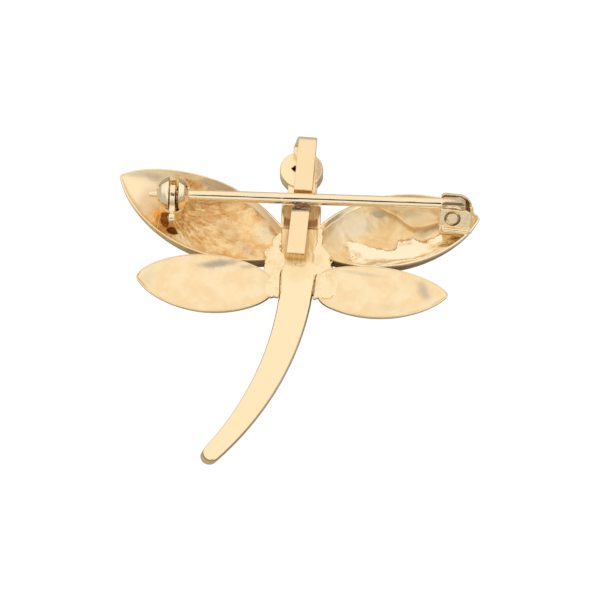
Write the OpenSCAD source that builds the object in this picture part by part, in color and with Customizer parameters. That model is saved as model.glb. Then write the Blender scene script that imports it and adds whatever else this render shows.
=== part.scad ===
// Dragonfly brooch with a pendant loop, lying face down with its pin and catch up.
// +X runs along the pin from catch to hinge, +Y from tail to head, +Z up from the surface it lies on.

/* [Upper wings] */
// Length of an upper wing, root to tip
upper_span = 22; // [20:0.5:24]
// Width of an upper wing across its middle
upper_chord = 10; // [9:0.25:11]
// Depth of an upper wing's bowl, rim to outer bottom
upper_depth = 3.2; // [2.8:0.1:3.8]
// How much the bottom of an upper wing rounds up across its width
upper_round = 1.7; // [1.3:0.1:2.1]
// How much the bottom of an upper wing rises to its tip
upper_rise = 2.7; // [2.3:0.1:2.9]

/* [Lower wings] */
// Length of a lower wing, root to tip
lower_span = 17.7; // [16:0.5:20]
// Width of a lower wing across its middle
lower_chord = 7.5; // [6.5:0.25:8.25]
// Depth of a lower wing's dish, rim to outer bottom
lower_depth = 1.6; // [1.4:0.1:2]
// How much the bottom of a lower wing rounds up across its width
lower_round = 1; // [0.7:0.1:1.2]
// How much the bottom of a lower wing rises to its tip
lower_rise = 1.1; // [0.8:0.1:1.3]
// Height of the lower wings' rims above the upper wings' rims
lower_step = 0.5; // [0.3:0.1:0.8]

/* [Wing metal] */
// Width of a wing's rim
rim_w = 0.4; // [0.3:0.05:0.8]
// Thickness of a wing's floor
floor_t = 0.6; // [0.5:0.05:0.9]

/* [Body and tail] */
// Width of the thorax
thorax_w = 4.7; // [4.3:0.1:5.2]
// Wall left beside the hollow at the top of the thorax
thorax_wall = 0.4; // [0.3:0.05:0.6]
// Height of the thorax's back above the upper wings' rims
thorax_lift = 0.2; // [0.1:0.05:0.3]
// Thickness of the flat body and tail plate
plate_t = 1.3; // [1:0.1:1.5]
// Height of the plate's back above the upper wings' rims
plate_lift = 0.4; // [0.35:0.05:0.6]
// Length of the plate above the bend where the tail starts
plate_len = 7.3; // [6.5:0.1:8]
// Width of the tail where it starts
tail_root_w = 3.9; // [3.4:0.1:4.2]
// Width of the tail at its round tip
tail_tip_w = 2.2; // [1.6:0.1:2.6]
// Length of the tail, bend to tip
tail_len = 23.3; // [20:0.5:25]
// How far the tip swings to the side
tail_swing = 8.9; // [7:0.1:10]
// Radius of the tail's curve
tail_curve = 37.2; // [30:0.5:50]

/* [Head] */
// Radius of the head
head_r = 2.58; // [2.2:0.02:2.8]
// Radius of the dome on the head's face
head_dome_r = 3; // [2.9:0.05:3.1]
// Radius of the neck
neck_r = 1.75; // [1.5:0.05:1.9]
// Half diagonal of the vent hole in the head's flat back
vent_r = 0.42; // [0.3:0.02:0.5]
// Depth of the vent hole
vent_depth = 1.2; // [0.8:0.1:1.6]

/* [Pendant loop] */
// Width of the loop's strip
strip_w = 2.15; // [1.8:0.05:2.4]
// Width of the loop's front leg
front_leg_w = 2.5; // [2.4:0.05:2.8]
// Thickness of the loop's strip
strip_t = 0.8; // [0.6:0.05:0.9]
// Height of the soldered foot above the plate
foot_t = 1.3; // [1.1:0.05:1.4]
// Length of the soldered foot
foot_len = 6; // [5:0.1:6.5]
// Outer radius of the bend at the top of the loop
bend_r = 1.65; // [1.4:0.05:1.9]
// Slope of the loop's back leg, in degrees
leg_slope = 17; // [14:0.5:19]
// Lean of the loop to the right, in degrees
loop_lean = 3.3; // [0:0.1:5]

/* [Pin] */
// Height of the pin's centre above the upper wings' rims
pin_lift = 1.5; // [1.4:0.05:1.8]
// Radius of the pin's straight half, by the catch
pin_r = 0.58; // [0.5:0.01:0.6]
// Radius of the pin at the hinge
pin_root_r = 0.67; // [0.6:0.01:0.7]
// Radius of the pin's blunt tip
pin_tip_r = 0.32; // [0.25:0.01:0.4]
// How far the tip reaches past the catch
tip_out = 0.7; // [0.4:0.05:1]

/* [Hinge] */
// Tilt of the pin's swing from straight up towards the head, in degrees
swing_tilt = 32; // [28:1:36]
// Width of the hinge box over both cheeks
box_w = 3.2; // [3:0.05:3.5]
// Thickness of the hinge box's sheet
sheet_t = 0.45; // [0.35:0.05:0.5]
// Radius of the rivet's shaft
rivet_r = 0.55; // [0.45:0.01:0.6]
// Radius of the rivet's heads
rivet_head_r = 0.66; // [0.64:0.01:0.75]
// Radius of the pin's knuckle
knuckle_r = 1.25; // [1.15:0.05:1.3]
// Height of the pin's centre above the rivet
knuckle_off = 1.2; // [1.1:0.05:1.25]

/* [Catch] */
// Radius of the ball-shaped housing
ball_r = 2.1; // [2:0.05:2.3]
// Width of the slot that the lever turns in
slot_w = 1.15; // [1.05:0.05:1.3]
// Thickness of the lever
lever_t = 0.68; // [0.55:0.01:0.75]
// Reach of the lever from the pin's centre
lever_reach = 3.8; // [3.4:0.1:4.2]
// Width of the lever's tab
lever_w = 1.1; // [0.9:0.05:1.2]
// Radius of the lever's hub
hub_r = 1.05; // [1:0.01:1.1]
// Wall of the lever's hub
hub_wall = 0.35; // [0.3:0.01:0.38]
// Radius of the round base under the ball
base_r = 1.8; // [1.6:0.05:2]

/* [Clearances] */
// Running clearance of the hub in the ball and the knuckle on the rivet
run_gap = 0.05; // [0.03:0.01:0.08]
// Gap between the rivet and the holes in the hinge box
rivet_gap = 0.02; // [0.01:0.01:0.04]
// Free space beside turning parts
side_gap = 0.1; // [0.06:0.01:0.15]
// Free space on each side of the pin in the catch's mouth
mouth_gap = 0.11; // [0.08:0.01:0.14]

/* [Hidden] */
$fn = 96;
gold = [0.93, 0.78, 0.52];
pale_gold = [0.9, 0.78, 0.58];
SINK = 0.3;

// Heights above the surface that the brooch lies on
rim_z = upper_depth;
thorax_z = rim_z + thorax_lift;
plate_z = rim_z + plate_lift;
pin_z = rim_z + pin_lift;

// Wing table: a row for each wing. Lengths are shares of the pair's span or chord, angles are degrees.
PAIR = 0; SIDE = 1; ANGLE = 2; SPAN = 3; LEAD = 4; TRAIL = 5; ROOT_X = 6; ROOT_Y = 7; SHIFT = 8;
WINGS = [
    // pair, side, angle, span, lead, trail, root x, root y, deepest point
    [0, -1, 25.6, 1.064, 0.491, 0.523, -0.036, -0.05, -0.14],
    [0, 1, 13.4, 0.945, 0.534, 0.462, 0.122, 0.043, -0.1],
    [1, -1, 3.4, 0.989, 0.511, 0.541, -0.188, -0.068, -0.05],
    [1, 1, -3.5, 1.011, 0.407, 0.532, 0.02, 0.059, -0.05]
];
LEFT_UPPER = 0;
RIGHT_UPPER = 1;
spans = [upper_span, lower_span];
chords = [upper_chord, lower_chord];
depths = [upper_depth, lower_depth];
rounds = [upper_round, lower_round];
rises = [upper_rise, lower_rise];
rims = [rim_z, rim_z + lower_step];

// Rows of the body along Y
tail_y = 2.18;
plate_top_y = tail_y + plate_len;
root_ys = [tail_y + 0.6 * plate_len, tail_y - 0.11 * plate_len];
thorax_x = 0.07 * thorax_w;
thorax_r = thorax_w / 2;
thorax_top_y = plate_top_y + 0.73 * thorax_w;
head_y = thorax_top_y + 0.05 * thorax_w + 1.9 * head_r;

function span_of(w) = spans[w[PAIR]] * w[SPAN];
function lead_of(w) = chords[w[PAIR]] * w[LEAD];
function trail_of(w) = chords[w[PAIR]] * w[TRAIL];
// Radius of an arc from its chord and its height
function arc_r(chord, height) = (chord * chord / 4 + height * height) / (2 * height);
function root_of(w) = [chords[w[PAIR]] * w[ROOT_X], root_ys[w[PAIR]] + chords[w[PAIR]] * w[ROOT_Y]];
function along(w) = [w[SIDE] * cos(w[ANGLE]), sin(w[ANGLE])];
function across(w) = [-w[SIDE] * sin(w[ANGLE]), cos(w[ANGLE])];
// A place on a wing: a share of its span from the root, and a distance towards the leading edge
function on_wing(w, share, off) = root_of(w) + along(w) * span_of(w) * share + across(w) * off;
// Radii of the wing's bottom: along its span, from the deepest point to the tip, and across it
function len_r(w) = arc_r(2 * span_of(w) * (0.5 - w[SHIFT]), rises[w[PAIR]]);
function wid_r(w) = arc_r(chords[w[PAIR]], rounds[w[PAIR]]);
// Height of the wing's outer bottom at a distance along and across from its middle
function bottom_z(w, x, y) =
    let (r = wid_r(w), ring = len_r(w) - r + sqrt(r * r - y * y), dx = x - span_of(w) * w[SHIFT])
    rims[w[PAIR]] - depths[w[PAIR]] + len_r(w) - sqrt(ring * ring - dx * dx);
// Centre of the circle of radius r through p and q, on the left of the way from p to q
function centre_of(p, q, r) =
    let (d = q - p, l = norm(d)) (p + q) / 2 + [-d[1], d[0]] / l * sqrt(r * r - l * l / 4);

// Places of the fittings
catch_share = 0.685;
catch_off = -0.023 * upper_chord;
hinge_share = 0.84;
catch_xy = on_wing(WINGS[LEFT_UPPER], catch_share, catch_off);
catch_x = catch_xy[0];
pin_y = catch_xy[1];
hinge_x = on_wing(WINGS[RIGHT_UPPER], hinge_share, 0)[0];
rivet_y = pin_y - knuckle_off * sin(swing_tilt);
rivet_z = pin_z - knuckle_off * cos(swing_tilt);

// A wing's leaf outline in its own frame, inset by a margin: two arcs that meet at root and tip
module leaf(w, inset) {
    c = span_of(w);
    lead_r = arc_r(c, lead_of(w));
    trail_r = arc_r(c, trail_of(w));
    intersection() {
        translate([0, lead_of(w) - lead_r]) circle(lead_r - inset);
        translate([0, trail_r - trail_of(w)]) circle(trail_r - inset);
    }
}

// The ring whose outer side is a wing's rounded bottom, with its skin taken off by a margin
module bottom_ring(w, skin) {
    translate([span_of(w) * w[SHIFT], 0, len_r(w) - depths[w[PAIR]]])
        rotate([90, 0, 0])
            rotate_extrude()
                translate([len_r(w) - wid_r(w), 0]) circle(wid_r(w) - skin);
}

// Moves a wing from its own frame to its place: X along the span, Z = 0 at the rim
module at_wing(w) {
    mid = on_wing(w, 0.5, 0);
    translate([mid[0], mid[1], rims[w[PAIR]]])
        rotate([0, 0, w[SIDE] > 0 ? w[ANGLE] : 180 - w[ANGLE]])
            mirror([0, w[SIDE] > 0 ? 0 : 1, 0]) children();
}

module wing_block(w) {
    intersection() {
        translate([0, 0, -depths[w[PAIR]] - 1]) linear_extrude(depths[w[PAIR]] + 1) leaf(w, 0);
        bottom_ring(w, 0);
    }
}

module wing(w) {
    at_wing(w) difference() {
        wing_block(w);
        intersection() {
            translate([0, 0, -depths[w[PAIR]]]) linear_extrude(depths[w[PAIR]] + 1) leaf(w, rim_w);
            bottom_ring(w, floor_t);
        }
    }
}

// Tail: a strip between two arcs, from the bend to a round tip, sloping down to the surface
tip_r = tail_tip_w / 2;
tail_x = 0.07 * tail_root_w;
root_c = [tail_x, tail_y];
tip_c = [tail_x - tail_swing, tail_y - tail_len + tip_r];
tail_slope = asin((plate_z - plate_t) / tail_len);
tip_out_dir = (tip_c - centre_of(tip_c, root_c, tail_curve)) / tail_curve;
clip_w = 1.6 * tail_root_w;

module tail_outline() {
    root_half = [tail_root_w / 2, 0];
    left_c = centre_of(tip_c - tip_out_dir * tip_r, root_c - root_half, tail_curve);
    right_c = centre_of(tip_c + tip_out_dir * tip_r, root_c + root_half, tail_curve);
    difference() {
        intersection() {
            translate(right_c) circle(tail_curve);
            polygon([root_c - [clip_w, 0], root_c + [clip_w, 0],
                     tip_c + tip_out_dir * clip_w, tip_c - tip_out_dir * clip_w]);
        }
        translate(left_c) circle(tail_curve);
    }
    translate(tip_c) circle(tip_r);
}

module body_plate() {
    translate([0, tail_y, plate_z]) rotate([tail_slope, 0, 0]) translate([0, -tail_y, -plate_t])
        linear_extrude(plate_t) tail_outline();
    low = tail_y - 0.1 * tail_root_w;
    translate([0, 0, plate_z - plate_t]) linear_extrude(plate_t)
        polygon([[tail_x - tail_root_w / 2, low], [tail_x + tail_root_w / 2, low],
                 [thorax_x + 0.49 * thorax_w, plate_top_y], [thorax_x - 0.49 * thorax_w, plate_top_y]]);
}

// Thorax: a half round under the plate, hollowed out from behind above the plate's end
module thorax() {
    axis_z = thorax_z - 0.17 * thorax_r;
    low_y = tail_y + 1.35 * thorax_r;
    difference() {
        intersection() {
            translate([thorax_x, low_y, axis_z]) union() {
                sphere(thorax_r);
                rotate([-90, 0, 0]) cylinder(r = thorax_r, h = thorax_top_y - low_y);
            }
            translate([thorax_x - thorax_w, tail_y - thorax_w, 0])
                cube([2 * thorax_w, thorax_top_y - tail_y + 2 * thorax_w, thorax_z]);
        }
        translate([thorax_x, plate_top_y, axis_z]) rotate([-90, 0, 0])
            cylinder(r = thorax_r - thorax_wall, h = thorax_top_y - plate_top_y - thorax_wall);
    }
}

module head() {
    neck_top = rim_z - 0.2 * neck_r;
    intersection() {
        translate([thorax_x, thorax_top_y - thorax_wall / 2, neck_top - 0.2 * neck_r]) rotate([-90, 0, 0])
            cylinder(r = neck_r, h = head_y - thorax_top_y);
        translate([thorax_x - 2 * neck_r, thorax_top_y - thorax_wall, 0])
            cube([4 * neck_r, head_y - thorax_top_y + thorax_wall, neck_top]);
    }
    translate([0.025 * thorax_w, head_y, rim_z]) difference() {
        intersection() {
            translate([0, 0, -head_dome_r]) cylinder(r = head_r, h = head_dome_r);
            sphere(head_dome_r);
        }
        translate([-0.25 * head_r, 0, -vent_depth]) cylinder(r = vent_r, h = 2 * vent_depth, $fn = 4);
    }
}

// Low domes of solder that fill the corners between the body and the wings
module solder() {
    fill_y = (root_ys[0] + root_ys[1]) / 2 + 0.22 * thorax_w;
    fill_r = 0.37 * thorax_w;
    for (side = [-1, 1])
        translate([thorax_x + side * 0.53 * thorax_w, fill_y, 0]) intersection() {
            translate([0, 0, 0.5 * rim_z]) cylinder(r = fill_r, h = rim_z);
            translate([0, 0, plate_z + 0.06 * fill_r - 1.35 * fill_r]) sphere(1.35 * fill_r);
        }
}

// Pendant loop: one strip, from a foot on the plate, down under the pin, up, over and back to the head
foot_y = tail_y + 0.36 * plate_len;
foot_z = plate_z + foot_t;
loop_x = 0.015 * thorax_w;
foot_top_y = foot_y + foot_len;
dip_z = pin_z - pin_root_r - 3.5 * side_gap;
bend_in_r = bend_r - strip_t;
bend_z = rim_z + bend_r;
bend_y = head_y + 0.49 * head_r;
// Where the back leg's outer side comes down to the pin's level
leg_y = pin_y + pin_root_r + 4 * side_gap;
leg_z = bend_z + (bend_r - (bend_y - leg_y) * sin(leg_slope)) / cos(leg_slope);

module loop_side() {
    // Foot, dip and riser
    polygon([[foot_y, plate_z - SINK], [foot_y, foot_z], [foot_top_y, foot_z],
             [foot_top_y + (foot_z - dip_z) * 0.8, dip_z], [leg_y - side_gap, dip_z],
             [leg_y, leg_z], [leg_y + strip_t, leg_z + strip_t * tan(leg_slope)],
             [leg_y + strip_t, dip_z - strip_t], [foot_top_y, dip_z - strip_t]]);
    translate([bend_y, bend_z]) {
        difference() {
            circle(bend_r);
            circle(bend_in_r);
            translate([-4 * bend_r, -2 * bend_r]) square([4 * bend_r, 2 * bend_r]);
            rotate(leg_slope) translate([-4 * bend_r, -2 * bend_r]) square([4 * bend_r, 4 * bend_r]);
        }
        // The two legs end in the bend
        leg_len = (bend_y - leg_y - strip_t / 2) / cos(leg_slope);
        rotate(leg_slope) translate([-leg_len, bend_in_r]) square([leg_len + strip_t / 20, strip_t]);
        translate([-bend_r, -bend_r]) square([bend_r + strip_t / 20, strip_t]);
    }
}

module pendant_loop() {
    translate([loop_x, foot_y, 0]) rotate([0, 0, -loop_lean]) translate([0, -foot_y, 0]) {
        translate([-strip_w / 2, 0, 0]) rotate([90, 0, 90]) linear_extrude(strip_w) loop_side();
        translate([-0.4 * front_leg_w, leg_y, rim_z - SINK / 2])
            cube([front_leg_w, bend_y - leg_y, strip_t + SINK / 2]);
    }
}

// Puts a part at a joint's centre, turned so that +Z is the way the pin swings
module tilted(x, y, z) {
    translate([x, y, z]) rotate([-swing_tilt, 0, 0]) children();
}

// Catch: a ball with a mouth for the pin, a bore for the lever's hub and a slot for the lever
ring_r = 0.83 * ball_r;
slot_from = -0.34 * slot_w;
mouth_r = pin_r + mouth_gap;
base_top = -0.93 * ball_r;
base_t = 0.28 * base_r;

module catch_housing() {
    w = WINGS[LEFT_UPPER];
    floor_z = bottom_z(w, span_of(w) * (catch_share - 0.5), catch_off);
    post_low = floor_z + floor_t / 2;
    difference() {
        union() {
            translate([catch_x, pin_y, pin_z]) sphere(ball_r);
            translate([catch_x, pin_y, pin_z + base_top - base_t]) cylinder(r = base_r, h = base_t);
            translate([catch_x, pin_y, post_low])
                cylinder(r = 0.65 * base_r, h = pin_z + base_top - base_t / 2 - post_low);
        }
        tilted(catch_x, pin_y, pin_z) {
            translate([-2 * ball_r, 0, 0]) rotate([0, 90, 0]) cylinder(r = hub_r + run_gap, h = 4 * ball_r);
            translate([-2 * ball_r, -mouth_r, 0]) cube([4 * ball_r, 2 * mouth_r, 2 * ball_r]);
        }
        translate([catch_x + slot_from, pin_y, pin_z]) {
            rotate([0, 90, 0]) cylinder(r = ring_r + side_gap, h = slot_w);
            translate([0, -2 * ball_r, -0.6 * ball_r]) cube([slot_w, 4 * ball_r, 3 * ball_r]);
        }
    }
}

// Lever: a hub with a gap that lines up with the mouth, a ring and a tab. It turns about the pin's line.
lever_angle = 10;

module catch_lever() {
    color(pale_gold) difference() {
        translate([catch_x, pin_y, pin_z]) {
            translate([-0.7 * ball_r, 0, 0]) rotate([0, 90, 0]) cylinder(r = hub_r, h = 1.45 * ball_r);
            translate([slot_from + side_gap, 0, 0]) {
                rotate([0, 90, 0]) cylinder(r = ring_r, h = lever_t);
                rotate([lever_angle, 0, 0]) {
                    translate([0, -lever_reach + lever_w / 2, -lever_w / 2])
                        cube([lever_t, lever_reach - lever_w / 2, lever_w]);
                    translate([0, -lever_reach + lever_w / 2, 0])
                        rotate([0, 90, 0]) cylinder(r = lever_w / 2, h = lever_t);
                }
            }
        }
        tilted(catch_x, pin_y, pin_z) {
            translate([-2 * ball_r, 0, 0]) rotate([0, 90, 0])
                cylinder(r = hub_r - hub_wall, h = 4 * ball_r);
            translate([-2 * ball_r, -mouth_r, 0]) cube([4 * ball_r, 2 * mouth_r, 2 * ball_r]);
        }
    }
}

// Hinge box: two cheeks, an end wall and a floor, in a frame with the rivet along Y
box_left = 1.18 * knuckle_r;
knuckle_w = box_w - 2 * sheet_t - 2 * side_gap;
root_over = 0.6 * pin_root_r;
sweep_r = norm([root_over, knuckle_off + pin_root_r]);
end_in = sweep_r + side_gap;
end_out = end_in + sheet_t;
cheek_top = 0.9 * knuckle_r;
far_top = 1.25 * knuckle_r;
floor_top = knuckle_r + side_gap;
head_sink = 0.5 * sheet_t;
head_ring_r = 1.33 * rivet_head_r;

corner_r = 0.8 * knuckle_r;

module cheek(top) {
    low = floor_top + sheet_t;
    rotate([90, 0, 0]) linear_extrude(sheet_t, center = true) {
        translate([-box_left, -low]) square([box_left + end_out - corner_r, low + top]);
        translate([-box_left, -low]) square([box_left + end_out, low + top - corner_r]);
        translate([end_out - corner_r, top - corner_r]) circle(corner_r);
    }
}

// Holes for the rivet's shaft and its two heads
module rivet_holes() {
    rotate([90, 0, 0]) cylinder(r = rivet_r + rivet_gap, h = 2 * box_w, center = true);
    for (side = [-1, 1])
        translate([0, side * (0.75 * box_w - head_sink / 2), 0]) rotate([90, 0, 0])
            cylinder(r = head_ring_r, h = head_sink + box_w / 2, center = true);
}

// The space inside the box, which the wing's rim leaves free
module box_room() {
    tilted(hinge_x, rivet_y, rivet_z) {
        translate([-box_left, -(box_w - sheet_t) / 2, -floor_top])
            cube([box_left + end_in + sheet_t / 2, box_w - sheet_t, 2 * box_w]);
        rivet_holes();
    }
}

module hinge_box() {
    w = WINGS[RIGHT_UPPER];
    half = box_w / 2;
    intersection() {
        tilted(hinge_x, rivet_y, rivet_z) difference() {
            union() {
                translate([0, -half + sheet_t / 2, 0]) cheek(cheek_top);
                translate([0, half - sheet_t / 2, 0]) cheek(far_top);
                translate([end_in, -half + sheet_t / 2, -floor_top - sheet_t / 2])
                    cube([sheet_t, box_w - sheet_t, floor_top + sheet_t / 2 + 0.55 * cheek_top]);
                translate([-box_left, -half + sheet_t / 2, -floor_top - sheet_t])
                    cube([box_left + end_out - sheet_t / 2, box_w - sheet_t, sheet_t]);
            }
            rivet_holes();
        }
        // Below the rim the box ends at the wing's outside
        union() {
            at_wing(w) wing_block(w);
            translate([hinge_x - 2 * box_w, rivet_y - 2 * box_w, rim_z - 0.5 * rim_w])
                cube([4 * box_w, 4 * box_w, 2 * box_w]);
        }
    }
    // Pad of solder between the box and the wing's floor
    intersection() {
        at_wing(w) wing_block(w);
        tilted(hinge_x, rivet_y, rivet_z)
            translate([-1.15 * box_left, -1.15 * half, -floor_top - sheet_t / 2 - box_w])
                cube([1.15 * box_left + end_out, 2.3 * half, box_w]);
    }
}

module hinge_rivet() {
    head_in = box_w / 2 - head_sink + rivet_gap;
    head_out = box_w / 2 + 0.2 * head_sink;
    color(pale_gold) tilted(hinge_x, rivet_y, rivet_z) rotate([90, 0, 0]) {
        cylinder(r = rivet_r, h = 2 * head_in + 0.1 * sheet_t, center = true);
        for (side = [0, 180])
            rotate([side, 0, 0]) translate([0, 0, head_in]) cylinder(r = rivet_head_r, h = head_out - head_in);
    }
}

// Pin: a tapered stem on a knuckle that turns on the rivet
module pin_stem() {
    tip_x = catch_x - ball_r - tip_out;
    taper_x = catch_x + ball_r;
    straight_x = loop_x - 0.9 * strip_w;
    root_x = hinge_x + root_over;
    color(gold) difference() {
        union() {
            translate([0, pin_y, pin_z]) rotate([0, 90, 0]) rotate_extrude()
                polygon([[0, tip_x], [pin_tip_r, tip_x], [pin_r, taper_x], [pin_r, straight_x],
                         [pin_root_r, hinge_x - box_left], [pin_root_r, root_x], [0, root_x]]);
            tilted(hinge_x, rivet_y, rivet_z) rotate([90, 0, 0])
                cylinder(r = knuckle_r, h = knuckle_w, center = true);
        }
        tilted(hinge_x, rivet_y, rivet_z) rotate([90, 0, 0])
            cylinder(r = rivet_r + run_gap, h = 2 * box_w, center = true);
    }
}

module brooch_body() {
    color(gold) {
        difference() {
            for (w = WINGS) wing(w);
            box_room();
        }
        body_plate();
        thorax();
        head();
        solder();
        pendant_loop();
        catch_housing();
        hinge_box();
    }
}

brooch_body();
pin_stem();
hinge_rivet();
catch_lever();
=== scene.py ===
"""A dragonfly brooch in yellow gold, lying face down with its pin and catch up.

Lengths are in millimetres until a mesh is made. +X runs along the pin from the catch to the hinge,
+Y from the tail to the head, and the brooch rests on z = 0.
"""

from functools import reduce
from math import asin, atan2, cos, hypot, pi, radians, sin, sqrt, tan

import bmesh
import bpy
import numpy as np
import openvdb
from mathutils import Matrix, Vector


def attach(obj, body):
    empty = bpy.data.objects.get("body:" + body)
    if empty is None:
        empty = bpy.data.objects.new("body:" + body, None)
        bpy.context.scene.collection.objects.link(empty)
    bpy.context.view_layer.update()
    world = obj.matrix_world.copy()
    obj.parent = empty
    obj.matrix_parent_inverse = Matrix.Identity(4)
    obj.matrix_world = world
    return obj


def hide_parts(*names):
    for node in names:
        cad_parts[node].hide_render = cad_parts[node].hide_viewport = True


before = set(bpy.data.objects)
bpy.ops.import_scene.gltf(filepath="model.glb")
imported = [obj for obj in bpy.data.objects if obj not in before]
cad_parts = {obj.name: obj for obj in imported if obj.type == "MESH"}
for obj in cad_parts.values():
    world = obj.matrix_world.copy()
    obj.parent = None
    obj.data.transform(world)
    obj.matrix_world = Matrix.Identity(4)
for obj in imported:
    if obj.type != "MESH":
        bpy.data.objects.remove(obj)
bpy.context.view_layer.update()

# The brooch's gold: a 14-carat yellow alloy. Every piece starts from this metal, and is then polished,
# left as cast, or stained. Colours are linear.
MM = 0.001
GOLD = (0.955, 0.765, 0.475)


def gold(red, green, blue):
    """The gold, with each of its channels multiplied by a share of its own."""
    return tuple(a * b for a, b in zip(GOLD, (red, green, blue)))


def both_ways(how):
    """An operator of a socket and its reflected form, with the socket second."""
    def form(order):
        return lambda *pair: pair[0].paint.node("Math", {"operation": how}, dict(zip(order, pair)))
    return form((0, 1)), form((1, 0))


class Shade:
    """A socket of a material. Sums and products on it add Math nodes."""

    __add__, __radd__ = both_ways("ADD")
    __sub__, __rsub__ = both_ways("SUBTRACT")
    __mul__, __rmul__ = both_ways("MULTIPLY")

    def __init__(self, paint, socket):
        self.paint = paint
        self.socket = socket

    def math(self, how, *others):
        return self.paint.node("Math", {"operation": how}, dict(enumerate((self, *others))))

    def hypot(self, other):
        return (self * self + other * other).math("SQRT")


class Nodes:
    """A node tree. Every node in it is made by the one method, node."""

    def __init__(self, tree):
        self.tree = tree
        self.tree.nodes.clear()

    def node(self, kind, settings=None, sockets=None, out=0):
        made = self.tree.nodes.new("ShaderNode" + kind)
        for key, value in (settings or {}).items():
            if key == "stops":
                self.set_stops(made.color_ramp.elements, value)
            else:
                setattr(made, key, value)
        for key, value in (sockets or {}).items():
            if isinstance(value, Shade):
                self.tree.links.new(value.socket, made.inputs[key])
            else:
                made.inputs[key].default_value = value
        return Shade(self, made.outputs[out]) if made.outputs else None

    def set_stops(self, ramp, stops):
        """Sets a ramp's stops: pairs of a place and a grey, both from 0 to 1."""
        for element, (place, grey) in zip(ramp, (stops[0], stops[-1])):
            element.position, element.color = place, (grey, grey, grey, 1)
        for place, grey in stops[1:-1]:
            ramp.new(place).color = (grey, grey, grey, 1)

    def step(self, value, low, high, first=0.0, last=1.0):
        """first below low and last above high, smooth between; low may be the larger."""
        ends = {1: low, 2: high, 3: first, 4: last}
        return self.node("MapRange", {"interpolation_type": "SMOOTHSTEP"}, {0: value, **ends})

    def near(self, value, far, close):
        """1 where the value is closer to zero than close, and 0 where it is beyond far."""
        return self.step(value.math("ABSOLUTE"), far, close)


class Paint(Nodes):
    """A metal finish. Its places are in mm, in a frame whose origin and turn about Z are given."""

    def __init__(self, name, at=(0, 0, 0), turn=0.0):
        self.material = bpy.data.materials.new(name)
        self.material.use_nodes = True
        super().__init__(self.material.node_tree)
        spot = self.node("TexCoord", out="Object")
        shift = {"Location": [v * MM for v in at], "Rotation": (0, 0, turn), "Scale": (MM, MM, MM)}
        self.p = self.node("Mapping", {"vector_type": "TEXTURE"}, {"Vector": spot, **shift})
        self.x, self.y, self.z = (self.node("SeparateXYZ", {}, {"Vector": self.p}, out=k) for k in "XYZ")

    def mix(self, share, first, second):
        """first where share is 0, second where it is 1, for colours."""
        pair = {6: first, 7: second}
        pair = {k: v if isinstance(v, Shade) else (*v, 1.0) for k, v in pair.items()}
        return self.node("Mix", {"data_type": "RGBA"}, {0: share, **pair}, out=2)

    def laid(self, colour, *layers):
        """The colour with layers over it, each a share and a colour of its own."""
        for share, layer in layers:
            colour = self.mix(share, colour, layer)
        return colour

    def noise(self, size, detail=3.0, rough=0.5, at=None):
        """Cloudy values about 0.5, with lumps of that size in mm."""
        knobs = {"Scale": 1.0 / size, "Detail": detail, "Roughness": rough}
        return self.node("TexNoise", {}, {"Vector": at or self.p, **knobs})

    def drawn(self, x, y, z, detail=4.0, rough=0.6):
        """Noise at a place given by its three values, each of which may be stretched."""
        return self.noise(1.0, detail, rough, at=self.node("CombineXYZ", {}, {0: x, 1: y, 2: z}))

    def streaks(self, along, across):
        """Noise drawn out into streaks: its lumps are that long along x, and that wide along y, in mm."""
        return self.drawn(self.x * (1 / along), self.y * (1 / across), self.z * 0.5, 3.0)

    def followed(self, line, low, high, reach=6.0):
        """The y of a line at x: a ramp from -reach to reach, whose greys stand for low to high."""
        stops = [((x + reach) / (2 * reach), (y - low) / (high - low)) for x, y in line]
        ramp = self.node("ValToRGB", {"stops": stops}, {0: self.x * (0.5 / reach) + 0.5})
        return ramp * (high - low) + low

    def spot(self, x, y, wide, high, turn=0.0, edge=0.35, wander=0.5, lump=0.8):
        """1 inside an ellipse round x, y with those half widths, fading over edge, its outline wandering."""
        x, y = self.x - x, self.y - y
        u = x * (cos(turn) / wide) + y * (sin(turn) / wide)
        far = u.hypot(y * (cos(turn) / high) - x * (sin(turn) / high))
        if wander:
            far = far + (self.noise(lump, 4.0, 0.6) - 0.5) * wander
        return self.step(far, 1.0 + edge, 1.0 - edge)

    def marked(self, colour, marks, edge=0.4):
        """The colour with marks on it: stains, and some painted shadows and reflections. Each has its place,
        half widths, turn, share and own colour.
        """
        return self.laid(colour, *((self.spot(*mark[:5], edge, 1.2) * mark[5], mark[6]) for mark in marks))

    def finish(self, colour, roughness, bump, depth, bare=1.0):
        """The metal, with bumps that are depth mm high and a share that is bare of oxide."""
        normal = self.node("Bump", {}, {"Height": bump, "Distance": depth * MM, "Strength": 1.0})
        sockets = {"Base Color": colour, "Metallic": bare, "Roughness": roughness, "Normal": normal}
        self.node("OutputMaterial", {}, {"Surface": self.node("BsdfPrincipled", {}, sockets)})
        return self.material


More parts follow.
